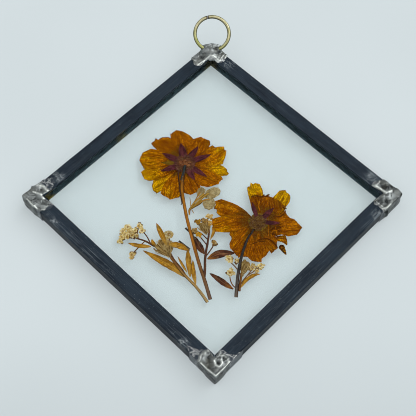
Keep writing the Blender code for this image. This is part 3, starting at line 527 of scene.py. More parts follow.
class Look(Nodes):
    """A material, whose body is its colour so far."""

    def __init__(self, name, roughness, specular=0.5, metallic=0.0, **values):
        self.material = bpy.data.materials.new(name)
        self.material.use_nodes = True
        super().__init__(self.material.node_tree)
        self.shader = self.tree.nodes["Principled BSDF"]
        self.body = None
        self.set(self.shader, {"Roughness": roughness, "Specular IOR Level": specular,
                               "Metallic": metallic, **values})

    def attribute(self, name):
        """The three numbers that a mesh carries under a name."""
        return self.split(self.add("Vector", "Attribute", {}, attribute_name=name))

    def place(self):
        """The place on the object, in metres."""
        return self.add("Object", "TexCoord", {})

    def grain(self, across_scale, along_scale):
        """The place in the grain that runs along a piece, scaled."""
        across, along, seed = self.attribute("grain")
        return self.vector(across * across_scale, along * along_scale, seed * 7.3)

    def noise(self, vector, scale, detail, roughness):
        return self.add("Fac", "TexNoise", {"Vector": vector, "Scale": scale, "Detail": detail,
                                            "Roughness": roughness})

    def blotches(self, scale, detail, roughness):
        """Noise by the place."""
        return self.noise(self.place(), scale, detail, roughness)

    def streaks(self, across, along, detail, roughness):
        """Noise by the grain."""
        return self.noise(self.grain(across, along), 1.0, detail, roughness)

    def lines(self, vector, scale, width):
        """Thin worm-like lines, 1 in the middle of a line and 0 off it."""
        value = self.math("ABSOLUTE", self.noise(vector, scale, 2.0, 0.5) - 0.5)
        return self.steps(value, 0.0, width, 1.0, 0.0)

    def creases(self, scale, width):
        """Lines by the place."""
        return self.lines(self.place(), scale, width)

    def veins(self, across, along, width):
        """Lines by the grain."""
        return self.lines(self.grain(across, along), 1.0, width)

    def tones(self, value, *stops):
        """Colour the body by a value, from stops of a position and three sRGB values."""
        self.body = self.ramp(value, [(position, srgb(*colour)) for position, *colour in stops])

    def coat(self, mask, colour):
        """Lay a colour over the body where the mask is 1."""
        self.body = self.blend(mask, self.body, colour)

    def darken(self, share):
        """Leave only a share of the body's brightness."""
        self.body = self.blend(1.0, self.body, self.vector(share, share, share), "MULTIPLY")

    def finish(self, height=None, distance=0.0, strength=1.0, **inputs):
        """Give the shader its colour, bumps and other changing inputs, and return the material."""
        if height is not None:
            inputs["Normal"] = self.add("Normal", "Bump", {"Height": height, "Distance": distance * MM,
                                                           "Strength": strength})
        self.set(self.shader, {"Base Color": self.body, **inputs})
        return self.material


def petal_look():
    """Amber petals, olive-brown at the base and yellow at the tip, with dark veins and wrinkles, and
    painted shade where other petals overlap them.
    """
    look = Look("amber_petal", 0.75, 0.0)
    shade, overlap_shade, rim = look.attribute("tone")
    streaks = look.streaks(1.3, 0.12, 4, 0.7)
    patches = look.blotches(130, 2, 0.5)
    detail = streaks * 1.05 + look.blotches(300, 3, 0.6) * 0.35 + patches * 0.45 - 0.925
    value = detail * look.steps(shade, 0.05, 0.40, 0.6, 1.0) + shade + 0.075
    look.tones(value, (0.02, 82, 62, 10), (0.20, 122, 88, 4), (0.36, 154, 91, 0), (0.52, 186, 107, 0),
               (0.70, 212, 140, 0), (0.92, 236, 179, 0))
    waves = look.veins(0.35, 0.85, 0.065) * 0.9 * look.steps(patches, 0.36, 0.48)
    lines = look.veins(0.70, 0.09, 0.075).most(look.veins(1.5, 0.20, 0.09) * 0.75)
    lines = lines.most(look.creases(520, 0.065) * 0.85).most(waves)
    look.coat(look.steps(shade, 0.26, 0.08, 0.0, 0.5), (96, 72, 26))
    look.coat(lines * 0.88, (86, 33, 0))
    look.coat(rim * 0.85, (78, 36, 2))
    # painted shade: each petal lying over or under a point darkens it a little more
    look.darken(look.math("POWER", 0.87, overlap_shade))
    return look.finish(streaks - lines * 0.4, 0.15, 0.8)


def pale_look():
    """Papery petals, beige in the middle and greyer towards a thin edge, with a net of veins."""
    look = Look("pale_petal", 0.7, 0.0)
    shade, _, rim = look.attribute("tone")
    look.body = look.blend(look.steps(look.blotches(420, 4, 0.65), 0.35, 0.62),
                           (190, 174, 130), (150, 126, 80))
    net = look.creases(600, 0.07)
    look.coat(net * 0.6, (104, 88, 56))
    look.coat(0.55 - shade, (104, 84, 50))
    look.coat(rim, (92, 92, 84))
    return look.finish(net, 0.14, 0.6)


def calyx_look():
    """Purple-brown bracts, olive where listed, about a mottled brown receptacle with a ridged heart."""
    look = Look("dried_calyx", 0.7, 0.05)
    olive, disc, heart = look.attribute("tone")
    streaks = look.streaks(1.1, 0.25, 4, 0.65)
    blotches = look.blotches(640, 4, 0.65)
    look.tones(blotches, (0.32, 54, 34, 14), (0.48, 84, 54, 16), (0.60, 98, 68, 20), (0.72, 116, 84, 42))
    mottled = look.body
    look.tones(streaks, (0.38, 66, 32, 18), (0.52, 124, 68, 30), (0.66, 160, 112, 66))
    ridged = look.body
    look.body = look.blend(look.steps(streaks, 0.38, 0.62), (96, 43, 46), (56, 22, 28))
    look.coat(olive, look.blend(look.steps(blotches, 0.4, 0.6), (118, 88, 10), (92, 70, 12)))
    look.coat(disc, mottled)
    look.coat(heart, ridged)
    look.coat(look.creases(600, 0.06) * 0.45, (40, 22, 18))
    look.coat(look.creases(700, 0.04) * look.steps(disc, 0.0, 0.4, 0.0, 0.25), (150, 118, 92))
    return look.finish(streaks + blotches, 0.2, 0.8)


def stem_look(name, *stops):
    """A ribbed stem whose colour changes along its length, with painted shade darkening its sides."""
    look = Look(name, 0.65, 0.1)
    tone, side, _ = look.attribute("tone")
    ribs = look.streaks(1.6, 0.10, 3, 0.6)
    look.tones(tone, *stops)
    look.coat(look.steps(ribs, 0.46, 0.66, 0.0, 0.6), (64, 36, 14))
    look.coat(look.steps(look.blotches(800, 3, 0.7), 0.58, 0.72, 0.0, 0.4), (176, 146, 100))
    # painted shade: the stem's sides, where it curves away, are darker
    look.coat(look.steps(side, 0.40, 0.90, 0.0, 0.85), (44, 24, 12))
    return look.finish(ribs, 0.2, 0.8)


def leaf_look(name, base, light, dark, foot):
    """A dried leaf: lighter along its midrib, darker and drier at its edges and tip, with its own foot."""
    look = Look(name, 0.65, 0.1)
    side, along, _ = look.attribute("tone")
    streaks = look.streaks(0.9, 0.25, 4, 0.65)
    look.body = look.blend(look.steps(streaks, 0.46, 0.66), base, light)
    look.coat(look.steps(look.blotches(420, 4, 0.6), 0.44, 0.62, 0.0, 0.75), dark)
    look.coat(look.veins(1.1, 0.14, 0.09) * 0.6, dark)
    look.coat(look.steps(side, 0.62, 1.0, 0.0, 0.85), dark)
    look.coat(look.steps(side, 0.0, 0.20, 0.60, 0.0), light)
    look.coat(look.steps(along, 0.42, 0.06) * look.steps(streaks, 0.36, 0.56), foot)
    look.coat(look.steps(along, 0.84, 1.0, 0.0, 0.7), dark)
    return look.finish(streaks, 0.2, 0.8)


def floret_look():
    """Cream florets with yellow and brown centres."""
    look = Look("dried_florets", 0.7, 0.1)
    yellow, centre, brown = look.attribute("tone")
    blotches = look.blotches(900, 3, 0.6)
    look.body = look.blend(look.steps(blotches, 0.38, 0.62), (236, 224, 176), (190, 162, 86))
    look.coat(yellow, (188, 134, 6))
    look.coat(centre, (118, 74, 16))
    look.coat(brown, (94, 62, 28))
    return look.finish(blotches, 0.08, 0.6)


def fluff_look():
    """Grey-brown woolly fibres, each with its own shade."""
    look = Look("woolly_fibres", 0.8, 0.1)
    shade = look.attribute("tone")[0]
    look.tones(shade * 0.7 + look.blotches(700, 3, 0.6) * 0.3, (0.12, 76, 52, 20), (0.36, 128, 98, 50),
               (0.60, 160, 130, 74), (0.86, 194, 172, 118))
    return look.finish()


def came_look():
    """Black patina: scratched lengthwise, speckled, worn pale in places and brassy where listed, with
    painted shade on the walls below its face and painted light inside its channel.
    """
    look = Look("came_patina", 0.42, 0.07)
    wear, gilt, height = look.attribute("tone")
    streaks = look.streaks(1.7, 0.03, 4, 0.7)
    cloud = look.streaks(0.20, 0.07, 3, 0.6)
    scuffs = look.streaks(1.1, 0.18, 5, 0.7)
    look.body = look.blend(look.steps(cloud, 0.3, 0.7), (42, 52, 62), (31, 39, 48))
    look.coat(look.steps(streaks, 0.46, 0.32, 0.0, 0.6), (12, 17, 24))
    scratches = look.steps(look.streaks(3.2, 0.04, 3, 0.7), 0.54, 0.64)
    look.coat(scratches * (wear * 0.8), (128, 138, 144))
    cloudy = look.steps(cloud, 0.40, 0.60).most(look.steps(wear, 0.55, 0.80))
    rubbed = look.steps(scuffs, 0.52, 0.66) * cloudy
    look.coat(rubbed * look.math("MINIMUM", wear, 1.0), (104, 112, 118))
    swirls = look.creases(480, 0.10) * 0.85 + 0.15
    ragged = look.blotches(420, 3, 0.6) * 2.0 + (wear - 1.0)
    look.coat(look.steps(ragged, 0.75, 1.15) * swirls, (140, 146, 148))
    specks = look.steps(look.streaks(2.2, 1.3, 2, 0.6), 0.66, 0.72)
    look.coat(specks * (wear * 0.7 + 0.2), (150, 158, 160))
    # painted shade: the walls and edges below the face are darker
    look.coat(look.steps(height, 0.96, 0.80, 0.0, 0.7), (10, 15, 22))
    # painted light: the inside of the channel, which lies in shade, is paler
    look.coat(look.steps(height, -0.1, -0.9), (66, 82, 88))
    look.coat(gilt, (112, 98, 44))
    return look.finish(streaks + scuffs * 0.4, 0.10, 0.6,
                       Roughness=look.steps(streaks, 0.3, 0.7, 0.36, 0.54))


def solder_look():
    """Grey solder with painted highlights on its ridges and lips and painted shade in its creases, pits and
    sides, with swirls of it on the patina beyond.
    """
    look = Look("solder", 0.3, metallic=1.0)
    relief, smear, lip = look.attribute("tone")
    film = look.blotches(200, 4, 0.6)
    # painted light: the first tone, brighter where the skin stands high and darker in its creases, pits and
    # sides
    look.tones(relief, (0.05, 44, 46, 46), (0.38, 122, 126, 125), (0.80, 178, 183, 182))
    look.coat(look.steps(film, 0.46, 0.64, 0.0, 0.5), (96, 96, 88))
    # painted highlight along the lips and ridges
    look.coat(lip, (218, 222, 216))
    dark = look.steps(smear - look.blotches(520, 3, 0.6) * 1.4, -0.50, -0.20)
    look.coat(dark * 0.8, (206, 208, 206))
    swirls = look.creases(480, 0.07) * look.steps(look.blotches(260, 2, 0.5), 0.40, 0.52)
    swirls = swirls * look.steps(smear, 1.9, 1.1)
    dark = dark * (1.0 - swirls * 0.85)
    look.coat(dark, (30, 41, 52))
    return look.finish(film + look.blotches(1200, 3, 0.6) * 0.15, 0.05, 0.5,
                       Metallic=look.steps(dark, 0.0, 1.0, 1.0, 0.0),
                       Roughness=look.steps(film, 0.3, 0.7, 0.26, 0.42))


def brass_look():
    """Pale aged brass with painted olive-dark shade at the wire's inner and outer sides, stained at the
    split.
    """
    look = Look("aged_brass", 0.3, metallic=1.0)
    painted_shade, stain, low = look.attribute("tone")
    tarnish = look.streaks(1.6, 0.35, 4, 0.65)
    scratches = look.streaks(8.0, 0.25, 3, 0.6)
    look.body = look.blend(look.steps(tarnish, 0.42, 0.64), (208, 200, 164), (152, 148, 96))
    look.coat(low * 0.6, (140, 148, 70))
    look.coat(look.steps(scratches, 0.52, 0.66, 0.0, 0.6), (112, 104, 62))
    # painted shade: the wire's inner and outer sides are darker
    look.coat(painted_shade * 0.9, (78, 72, 34))
    look.coat(stain, (70, 54, 44))
    return look.finish(scratches, 0.05, 0.5, Roughness=look.steps(tarnish, 0.3, 0.7, 0.24, 0.42))


def glass_look():
    """Clear window glass with the least green in it, and faint drawn waves."""
    look = Look("window_glass", 0.0, **{"Transmission Weight": 1.0, "IOR": 1.5,
                                        "Specular Tint": (0.2, 0.2, 0.2, 1.0)})
    waves = look.blotches(22, 2, 0.4)
    look.body = look.blend(look.steps(waves, 0.3, 0.7),
                           (0.984, 1.0, 0.998, 1.0), (0.981, 0.998, 0.997, 1.0))
    return look.finish(waves, 0.02, 0.3)


def floor_look():
    """A pale, matt studio table that is lit a little from within, and dimmer in front."""
    look = Look("pale_floor", 0.8, 0.05, **{"Emission Strength": 0.32,
                                            "Emission Color": srgb(240, 250, 252)})
    look.body = look.blend(look.steps(look.blotches(9, 2, 0.5), 0.3, 0.7), (167, 174, 176), (163, 170, 172))
    look.darken(look.steps(look.split(look.place())[1], -0.12, -0.05, 0.82, 1.0))
    return look.finish()


# ---------------------------------------------------------------- building pieces
def left_of(ahead):
    """The direction to the left of another in plan."""
    return Vector((-ahead.y, ahead.x))


def rough(x, y, z=0.0):
    """Smooth noise from -1 to 1."""
    return noise.noise(Vector((x, y, z)))


def ease(value, low, high):
    """0 below low, 1 above high, and a smooth rise between them."""
    t = min(1.0, max(0.0, (value - low) / (high - low)))
    return t * t * (3 - 2 * t)


def turns(count):
    """Angles evenly round a circle."""
    return [math.tau * j / count for j in range(count)]


def smooth_route(points, steps):
    """Points along a smooth cubic curve through the given ones."""
    ends = [Vector(p) for p in points]
    ends = [2 * ends[0] - ends[1]] + ends + [2 * ends[-1] - ends[-2]]
    route = []
    for before, start, end, after in zip(ends, ends[1:], ends[2:], ends[3:]):
        for step in range(steps):
            t = step / steps
            route.append(0.5 * (2 * start + (end - before) * t
                                + (2 * before - 5 * start + 4 * end - after) * t * t
                                + (3 * start - before - 3 * end + after) * t ** 3))
    route.append(ends[-2])
    return route


def stations(route, steps):
    """Along a smooth curve: share of the way, distance run, place and leftward direction."""
    path = smooth_route(route, steps)
    last = len(path) - 1
    length = sum((end - start).length for start, end in zip(path, path[1:]))
    for i, spot in enumerate(path):
        ahead = (path[min(i + 1, last)] - path[max(i - 1, 0)]).normalized()
        yield i / last, i / last * length, spot, left_of(ahead)


def layer_height(layer):
    return POCKET + LAYER_START + LAYER_PITCH * layer


def sunk(rows, thickness):
    """The same grid of points, lower by a thickness."""
    return [[((p[0], p[1], p[2] - thickness), grain, tone) for p, grain, tone in row] for row in rows]


def link(name, data):
    """Put an object with the data in the scene."""
    made = bpy.data.objects.new(name, data)
    bpy.context.scene.collection.objects.link(made)
    return made


def carry(mesh, name, values):
    """Let a mesh carry three numbers at each point, for its material."""
    layer = mesh.attributes.new(name, "FLOAT_VECTOR", "POINT")
    layer.data.foreach_set("vector", np.array(values, np.float32).ravel())


def finish_mesh(name, mesh, material, nodes, sharp):
    """Face a mesh outwards, smooth it, and put it in the scene as a piece that stands for the nodes."""
    work = bmesh.new()
    work.from_mesh(mesh)
    bmesh.ops.recalc_face_normals(work, faces=work.faces)
    if work.calc_volume(signed=True) < 0:
        bmesh.ops.reverse_faces(work, faces=work.faces)
    work.to_mesh(mesh)
    work.free()
    mesh.shade_smooth()
    mesh.set_sharp_from_angle(angle=math.radians(sharp))
    mesh.materials.clear()
    mesh.materials.append(material)
    piece = link(name, mesh)
    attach(piece, "root")
    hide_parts(*nodes)


class Body:
    """One piece, gathered from closed shapes. Each is a grid of points, each a (place, grain, tone).

    The grain is (across, along, seed) and lays streaks along a piece. What the tone's three numbers
    mean is up to the material.
    """

    def __init__(self):
        self.points = []
        self.faces = []

    def put(self, rows):
        """Add a grid's points and return the number of the first."""
        start = len(self.points)
        for row in rows:
            self.points += row
        return start

    def sheet(self, rows, thickness=SHEET_THICK):
        """A closed thin sheet under a grid of points."""
        top = self.put(rows)
        drop = self.put(sunk(rows, thickness)) - top
        width = len(rows[0])
        last = len(rows) - 1

        def at(i, j):
            return top + i * width + j

        for i in range(last):
            for j in range(width - 1):
                quad = (at(i, j), at(i, j + 1), at(i + 1, j + 1), at(i + 1, j))
                self.faces.append(quad)
                self.faces.append(tuple(k + drop for k in reversed(quad)))
        rim = [at(0, j) for j in range(width)] + [at(i, width - 1) for i in range(1, last + 1)]
        rim += [at(last, j) for j in range(width - 2, -1, -1)] + [at(i, 0) for i in range(last - 1, 0, -1)]
        for first, second in zip(rim, rim[1:] + rim[:1]):
            self.faces.append((first, first + drop, second + drop, second))

    def tube(self, rings):
        """A closed tube through rings of points."""
        start = self.put(rings)
        sides = len(rings[0])
        end = start + (len(rings) - 1) * sides
        for low in range(start, end, sides):
            for j in range(sides):
                after = (j + 1) % sides
                self.faces.append((low + j, low + after, low + sides + after, low + sides + j))
        self.faces.append(tuple(start + j for j in reversed(range(sides))))
        self.faces.append(tuple(end + j for j in range(sides)))

    def disc(self, rings, thickness):
        """A closed round sheet under rings of points, which run from its middle out."""
        self.tube(sunk(rings, thickness) + rings[::-1])

    def finish(self, name, material, slot, nodes, sharp=60.0):
        """Make the object, which rides on the frame and stands for the listed nodes."""
        places, grains, tones = zip(*self.points)
        mesh = bpy.data.meshes.new(name)
        mesh.from_pydata([(x * MM, (y + SQUARE_Y) * MM, z * MM) for x, y, z in places], [], self.faces)
        carry(mesh, "grain", grains)
        carry(mesh, "tone", tones)
        finish_mesh(name, mesh, material, nodes, sharp)


# ---------------------------------------------------------------- petals
def petal_axes(bloom, rim):
    """Where a petal's claw starts, which way it points and which way is left."""
    towards = (sum(rim, Vector((0.0, 0.0))) / len(rim) - Vector(bloom["middle"])).normalized()
    return Vector(bloom["middle"]) + towards * bloom["root"], towards, left_of(towards)


def petal_outline(bloom, rim):
    """The outline of the petal's solid, to find where petals lie on each other."""
    foot, _, left = petal_axes(bloom, rim)
    return [foot + left * bloom["claw"] / 2] + rim + [foot - left * bloom["claw"] / 2]


def covers(outline, places):
    """Which of the places an outline covers, as an array of 0 and 1."""
    inside = np.zeros(len(places), bool)
    x, y = places[:, 0], places[:, 1]
    for start, end in zip(outline, outline[1:] + outline[:1]):
        crosses = (start.y > y) != (end.y > y)
        if start.y != end.y:
            edge_x = start.x + (y - start.y) * (end.x - start.x) / (end.y - start.y)
            inside ^= crosses & (x < edge_x)
    return inside.astype(float)


def rim_places(rim):
    """A torn rim's corners and points between them, with their share of its length, and the length."""
    lengths = [(end - start).length for start, end in zip(rim, rim[1:])]
    total = sum(lengths)
    places = [(0.0, rim[0])]
    run = 0.0
    for start, end, length in zip(rim, rim[1:], lengths):
        count = max(2, round(length / PETAL_SPACING))
        for step in range(1, count + 1):
            places.append(((run + length * step / count) / total, start.lerp(end, step / count)))
        run += length
    return places, total


def petal_rows(bloom, petal, seed):
    """A petal's grid from claw to rim, pleated along its length: places, grains, shades and rims."""
    layer, rim, yellow, brown, reach = petal
    foot, towards, left = petal_axes(bloom, rim)
    length = (rim[len(rim) // 2] - foot).length
    places, width = rim_places(rim)
    pleats = max(2.0, width / PLEAT_WIDTH)
    count = max(8, round(length / PETAL_SPACING))
    rows = []
    for i in range(count + 1):
        v = i / count
        row = []
        for u, place in places:
            start = foot + left * bloom["claw"] * (0.5 - u)
            tooth = RIM_TEETH * (abs(rough(u * width * 0.8, seed)) + 0.6 * rough(u * width * 1.9, seed + 5))
            end = place - towards * tooth * ease(min(u, 1 - u), 0.0, 0.06)
            spot = start.lerp(end, v) + left * (1 - 2 * u) * PETAL_BOW * length * 4 * v * (1 - v)
            spot += left * 0.10 * rough(v * 9.0, u * 3.0, seed) * (1 if u in (0.0, 1.0) else 0)
            warped = u + 0.05 * rough(u * 4.0, v * 3.0, seed)
            fold = abs(math.sin(math.pi * pleats * warped)) ** 0.7
            height = PLEAT * (1 - 2 * fold) * ease(v, 0.05, 0.5)
            height += CRINKLE * rough(u * width * 1.7, v * 6.0, seed + 2)
            height += CRINKLE * rough(spot.x * 0.8, spot.y * 0.8, seed + 3)
            z = min(PETAL_CEILING, layer_height(layer) + 0.5 * LAYER_PITCH + height)
            ragged = v + 0.16 * rough(u * 5.0, v * 2.0, seed + 4)
            tip = yellow * ease(ragged, 0.2, 1.0)
            dark = max(brown, 0.85 * (1 - ease(ragged, reach - 0.15, reach + 0.20)))
            edge = max(ease(v, 0.955, 1.0), 0.8 * ease(abs(2 * u - 1), 0.93, 1.0))
            edge *= ease(rough(u * width * 0.35, v * 2.0, seed), -0.25, 0.35)
            grain = (u * width * (0.45 + 0.55 * v), v * length, seed)
            row.append(((spot.x, spot.y, z), grain, 0.5 + 0.45 * tip - 0.45 * dark, edge))
        rows.append(row)
    return rows


def add_strand(body, route, wide, height, tone, seed):
    """A torn or folded strip of petal: a flat tapered tube along a route."""
    rings = []
    for t, _, spot, left in stations(route, 6):
        radius = wide / 2 * (0.35 + 0.65 * math.sin(math.pi * t) ** 0.5) * (1 + 0.35 * rough(t * 9.0, seed))
        ring = []
        for turn in turns(8):
            side = radius * math.cos(turn)
            z = POCKET + height + 0.35 * radius * math.sin(turn) + 0.03 * rough(t * 8.0, seed + 2)
            ring.append(((*(spot + left * side), min(z, CEILING)), (side, 3 * t, seed), tone))
        rings.append(ring)
    body.tube(rings)


def build_petals(prefix, bloom, material, slot):
    petals = [(layer, [Vector(p) for p in rim], *rest) for layer, rim, *rest in bloom["petals"]]
    outlines = [petal_outline(bloom, petal[1]) for petal in petals]
    for number, petal in enumerate(petals, 1):
        rows = petal_rows(bloom, petal, number * 1.7 + len(prefix))
        flat = np.array([point[0][:2] for row in rows for point in row])
        # How many other petals lie over or under each point, which the material turns into painted shade
        counts = iter(sum(covers(outline, flat + shift) / 5
                          for outline in outlines[:number - 1] + outlines[number:]
                          for shift in ((0, 0), (0.25, 0), (-0.25, 0), (0, 0.25), (0, -0.25))))
        body = Body()
        body.sheet([[(place, grain, (shade, next(counts), edge)) for place, grain, shade, edge in row]
                    for row in rows])
        name = f"{prefix}_petal_{number:02d}"
        for strand, (wide, height, shade, dark, route) in enumerate(PETAL_STRANDS.get(name, ())):
            add_strand(body, route, wide, height, (shade, 0.0, dark), strand * 2.3)
        body.finish(name + "_fine", material, slot, [name])


def build_scraps(material):
    """Two curled scraps: rolled tongues of petal along the middle of their solids."""
    for number, (name, (layer, shade, fold, outline)) in enumerate(CURLED_SCRAPS.items()):
        half = len(outline) // 2
        upper = smooth_route(outline[:half + 1], 6)
        lower = smooth_route([outline[0]] + outline[:half - 1:-1], 6)
        last = min(len(upper), len(lower)) - 1
        rows = []
        for j in range(9):
            side = j / 8
            row = []
            for i in range(1, last):
                start, end = (edge[round(i * (len(edge) - 1) / last)] for edge in (upper, lower))
                x, y = start.lerp(end, side)
                curl = 0.10 * math.cos(math.tau * side) + 0.05 * rough(x * 1.4, y * 1.4, number)
                tan = 0.45 * ease(rough(x * 1.9, y * 1.9, 7.0), 0.05, 0.3)
                rim = ease(abs(2 * side - 1), 0.5, 1.0) * (1 - tan)
                # The fold's value goes to the petals' painted overlap shade, which darkens it, less where
                # it is tan.
                row.append(((x, y, layer_height(layer) + SCRAP_RISE + curl),
                            (side * 2, 4 * i / (last + 1), number + 0.5),
                            (shade + 1.6 * tan, fold * (0.45 - tan), rim)))
            rows.append(row)
        body = Body()
        body.sheet(rows)
        body.finish(name + "_fine", material, "amber_petal", [name])


# ---------------------------------------------------------------- calyx
def add_bract(body, bloom, bract, olive, number, seed):
    """A lance-shaped bract with a midrib."""
    x, y, width = bract
    middle = Vector(bloom["middle"])
    tip = Vector((x, y)) - middle
    left = left_of(tip).normalized()
    foot = tip.normalized() * bloom["disc"] * 0.3
    rows = []
    for i in range(25):
        t = i / 24
        swell = 0.75 + 0.25 * math.sin(math.pi / 2 * t / 0.45) if t < 0.45 else math.cos(
            math.pi / 2 * (t - 0.45) / 0.55) ** 0.9
        half = width / 2 * swell + 0.05
        bend = left * 0.25 * rough(t * 1.6, number, seed)
        row = []
        for j in range(11):
            side = j / 5 - 1
            x, y = middle + foot.lerp(tip, t) + bend * t - left * half * side
            ridge = 0.05 * math.exp(-(side / 0.16) ** 2) + 0.04 * side * side
            z = POCKET + bloom["bract_height"] - 0.03 + ridge + 0.03 * rough(x * 1.3, y * 1.3, seed)
            row.append(((x, y, z), (side * width / 2, t * tip.length, number + seed),
                        (olive * ease(t, 0.25, 0.45), 0.0, 0.0)))
        rows.append(row)
    body.sheet(rows, BRACT_THICK)


def build_calyx(name, bloom, material, seed):
    """Bracts about a lumpy receptacle with a ridged heart."""
    body = Body()
    for number, bract in enumerate(bloom["bracts"]):
        add_bract(body, bloom, bract, 1.0 if number in bloom["olive_bracts"] else 0.0, number, seed)
    middle_x, middle_y = bloom["middle"]
    heart_x, heart_y, heart_wide, heart_deep = bloom["heart"]
    rings = []
    for i in range(21):
        r = max(i, 0.2) / 20
        ring = []
        for turn in turns(80):
            ragged = 1.0 + 0.12 * rough(2.2 * math.cos(turn), 2.2 * math.sin(turn), seed)
            reach = bloom["disc"] * ragged * r
            x = middle_x + reach * math.cos(turn)
            y = middle_y + reach * math.sin(turn)
            apart = math.hypot((x - heart_x) / max(heart_wide, 1.0), (y - heart_y) / heart_deep)
            heart = 1 - ease(apart + 0.2 * rough(x * 0.9, y * 0.9, seed), 0.8, 1.1) if heart_wide else 0.0
            around = math.atan2(y - heart_y, x - heart_x)
            ribs = 0.05 * math.sin(17 * around) * ease(apart, 0.25, 0.6) * heart
            lumps = 0.07 * rough(x * 1.3, y * 1.3, seed + 4) + 0.04 * rough(x * 3.1, y * 3.1, seed)
            z = POCKET + bloom["bract_height"] + 0.06 * (1 - r * r) + 0.05 * heart + ribs + lumps
            z -= 0.22 * bloom["olive_rim"] * ease(r, 0.55, 1.0)
            rim = ease(r + 0.28 * rough(x * 0.6, y * 0.6, seed + 8), 0.62, 0.98)
            mottled = bloom["mottle"] * (1 - max(0.5, bloom["olive_rim"]) * rim)
            ring.append(((x, y, min(z, CEILING)), (around * 3.2, 4 * apart, seed),
                         (bloom["olive_rim"] * rim, mottled, heart)))
        rings.append(ring)
    body.disc(rings, RECEPTACLE_THICK)
    body.finish(name + "_fine", material, "dried_calyx", [name])


# ---------------------------------------------------------------- stems and leaves
def ribbed_tube(body, route, widths, height, flatten, seed, sides, tone=None):
    """A pressed stem: a flattened, ribbed tube along a route, with slight knots in it."""
    rings = []
    for t, run, spot, left in stations(route, 6):
        radius = (widths[0] + (widths[1] - widths[0]) * t) / 2
        radius *= 1 + 0.12 * rough(spot.x * 0.7, spot.y * 0.7, seed)
        ring = []
        for turn in turns(sides):
            rib = radius * (1 + 0.10 * math.sin(5 * turn + 2.0 * rough(t * 3.0, seed)))
            place = (*(spot + left * rib * math.cos(turn)), height + rib * math.sin(turn) * flatten)
            # painted shade at the tube's sides, most on its left
            dark = max(math.cos(turn), -0.8 * math.cos(turn))
            ring.append((place, (turn * 1.5, run, seed), (t if tone is None else tone, dark, 0.0)))
        rings.append(ring)
    body.tube(rings)


def build_leaf(name, layer, width, route, material, slot, seed):
    """A dried leaf: a blade about a sunk midrib, with its edges curled up a little."""
    rows = []
    for t, run, spot, left in stations(route, 14):
        half = width / 2 * max(0.22 * (1 - t), math.sin(math.pi * t ** 0.9) ** 0.75) + 0.03
        half *= 1 + 0.16 * rough(t * 6.0, seed)
        row = []
        for j in range(15):
            side = 1 - j / 7
            edge = 0.06 * rough(t * 14.0, side, seed) * abs(side)
            x, y = spot + left * (half * side + edge)
            curl = 0.06 * side * side - 0.05 * math.exp(-(side / 0.14) ** 2)
            vein = 0.020 * math.sin(9 * math.tau * (t * 1.2 - abs(side) * 0.16)) * (1 - side * side)
            z = layer_height(layer) + LEAF_RISE + curl + vein + 0.03 * rough(x * 0.9, y * 0.9, seed)
            row.append(((x, y, min(z, CEILING)), (side * half, run, seed), (abs(side), t, 0.0)))
        rows.append(row)
    body = Body()
    body.sheet(rows)
    body.finish(name + "_fine", material, slot, [name])


def build_stems(looks):
    for number, (name, (height, flatten, start, end, route)) in enumerate(STEMS.items()):
        body = Body()
        ribbed_tube(body, route, (start, end), POCKET + height, flatten, number + 0.3, 16)
        for strand, (rise, wide, thin, tone, line) in enumerate(STRANDS.get(name, ())):
            ribbed_tube(body, line, (wide, thin), POCKET + rise, 0.35, number + strand * 3.1, 10, tone)
        material = looks.get(name, looks["slate_stem"])
        body.finish(name + "_fine", material, STEM_SLOTS.get(name, "slate_stem"), [name])


# ---------------------------------------------------------------- sprigs
def add_floret(body, x, y, radius, height, draw, yellow, brown, heart):
    """Five rounded petals, cupped and uneven."""
    start = draw.uniform(0, math.tau)
    for number in range(5):
        angle = start + number * math.tau / 5 + draw.uniform(-0.25, 0.25)
        out = Vector((math.cos(angle), math.sin(angle)))
        reach = radius * draw.uniform(0.80, 1.15)
        width = radius * draw.uniform(0.85, 1.15) * (1.5 if radius > HUSK_RADIUS else 1.0)
        lift = draw.uniform(-0.03, 0.08)
        tint = min(1.0, max(0.0, yellow + draw.uniform(-0.25, 0.25)))
        rows = []
        for i in range(6):
            t = i / 5
            half = width * (0.2 + 0.8 * math.sin(math.pi * min(t, 0.88) ** 0.9)) / 2
            row = []
            for j in range(5):
                side = j / 2 - 1
                cup = side * side * t
                place = Vector((x, y)) + out * reach * (0.1 + 0.9 * t) * (1 - 0.15 * side * side)
                place -= left_of(out) * half * side
                z = height + lift * t + 0.08 * cup + 0.04 * rough(place.x * 2.1, place.y * 2.1)
                row.append(((*place, z), (side, t, number),
                            (tint, heart * (1 - ease(t, 0.05, 0.40)), 0.12 * cup + brown)))
            rows.append(row)
        body.sheet(rows, FLORET_THICK)


def add_heart(body, x, y, radius, draw, brown):
    """A cluster of small beads in the middle of a floret."""
    for _ in range(BEADS):
        angle = draw.uniform(0, math.tau)
        apart = radius * 0.28 * math.sqrt(draw.random())
        size = radius * draw.uniform(0.10, 0.16)
        bead_x = x + apart * math.cos(angle)
        bead_y = y + apart * math.sin(angle)
        tone = (0.7, draw.uniform(0.0, 0.8), brown)
        rings = []
        for i in range(5):
            polar = math.pi * (i + 0.5) / 5
            reach = size * math.sin(polar)
            z = FLORET_HEIGHT + 0.07 + size * 0.6 * math.cos(polar)
            rings.append([((bead_x + reach * math.cos(turn), bead_y + reach * math.sin(turn), z),
                           (0, 0, 0), tone) for turn in turns(7)])
        body.tube(rings)


def inner(x, y, core):
    """How deep inside a sprig's cluster of florets a place is: 1 at its core, 0 at its outside."""
    return 1 - ease(math.dist((x, y), core), 0.5, 3.2)


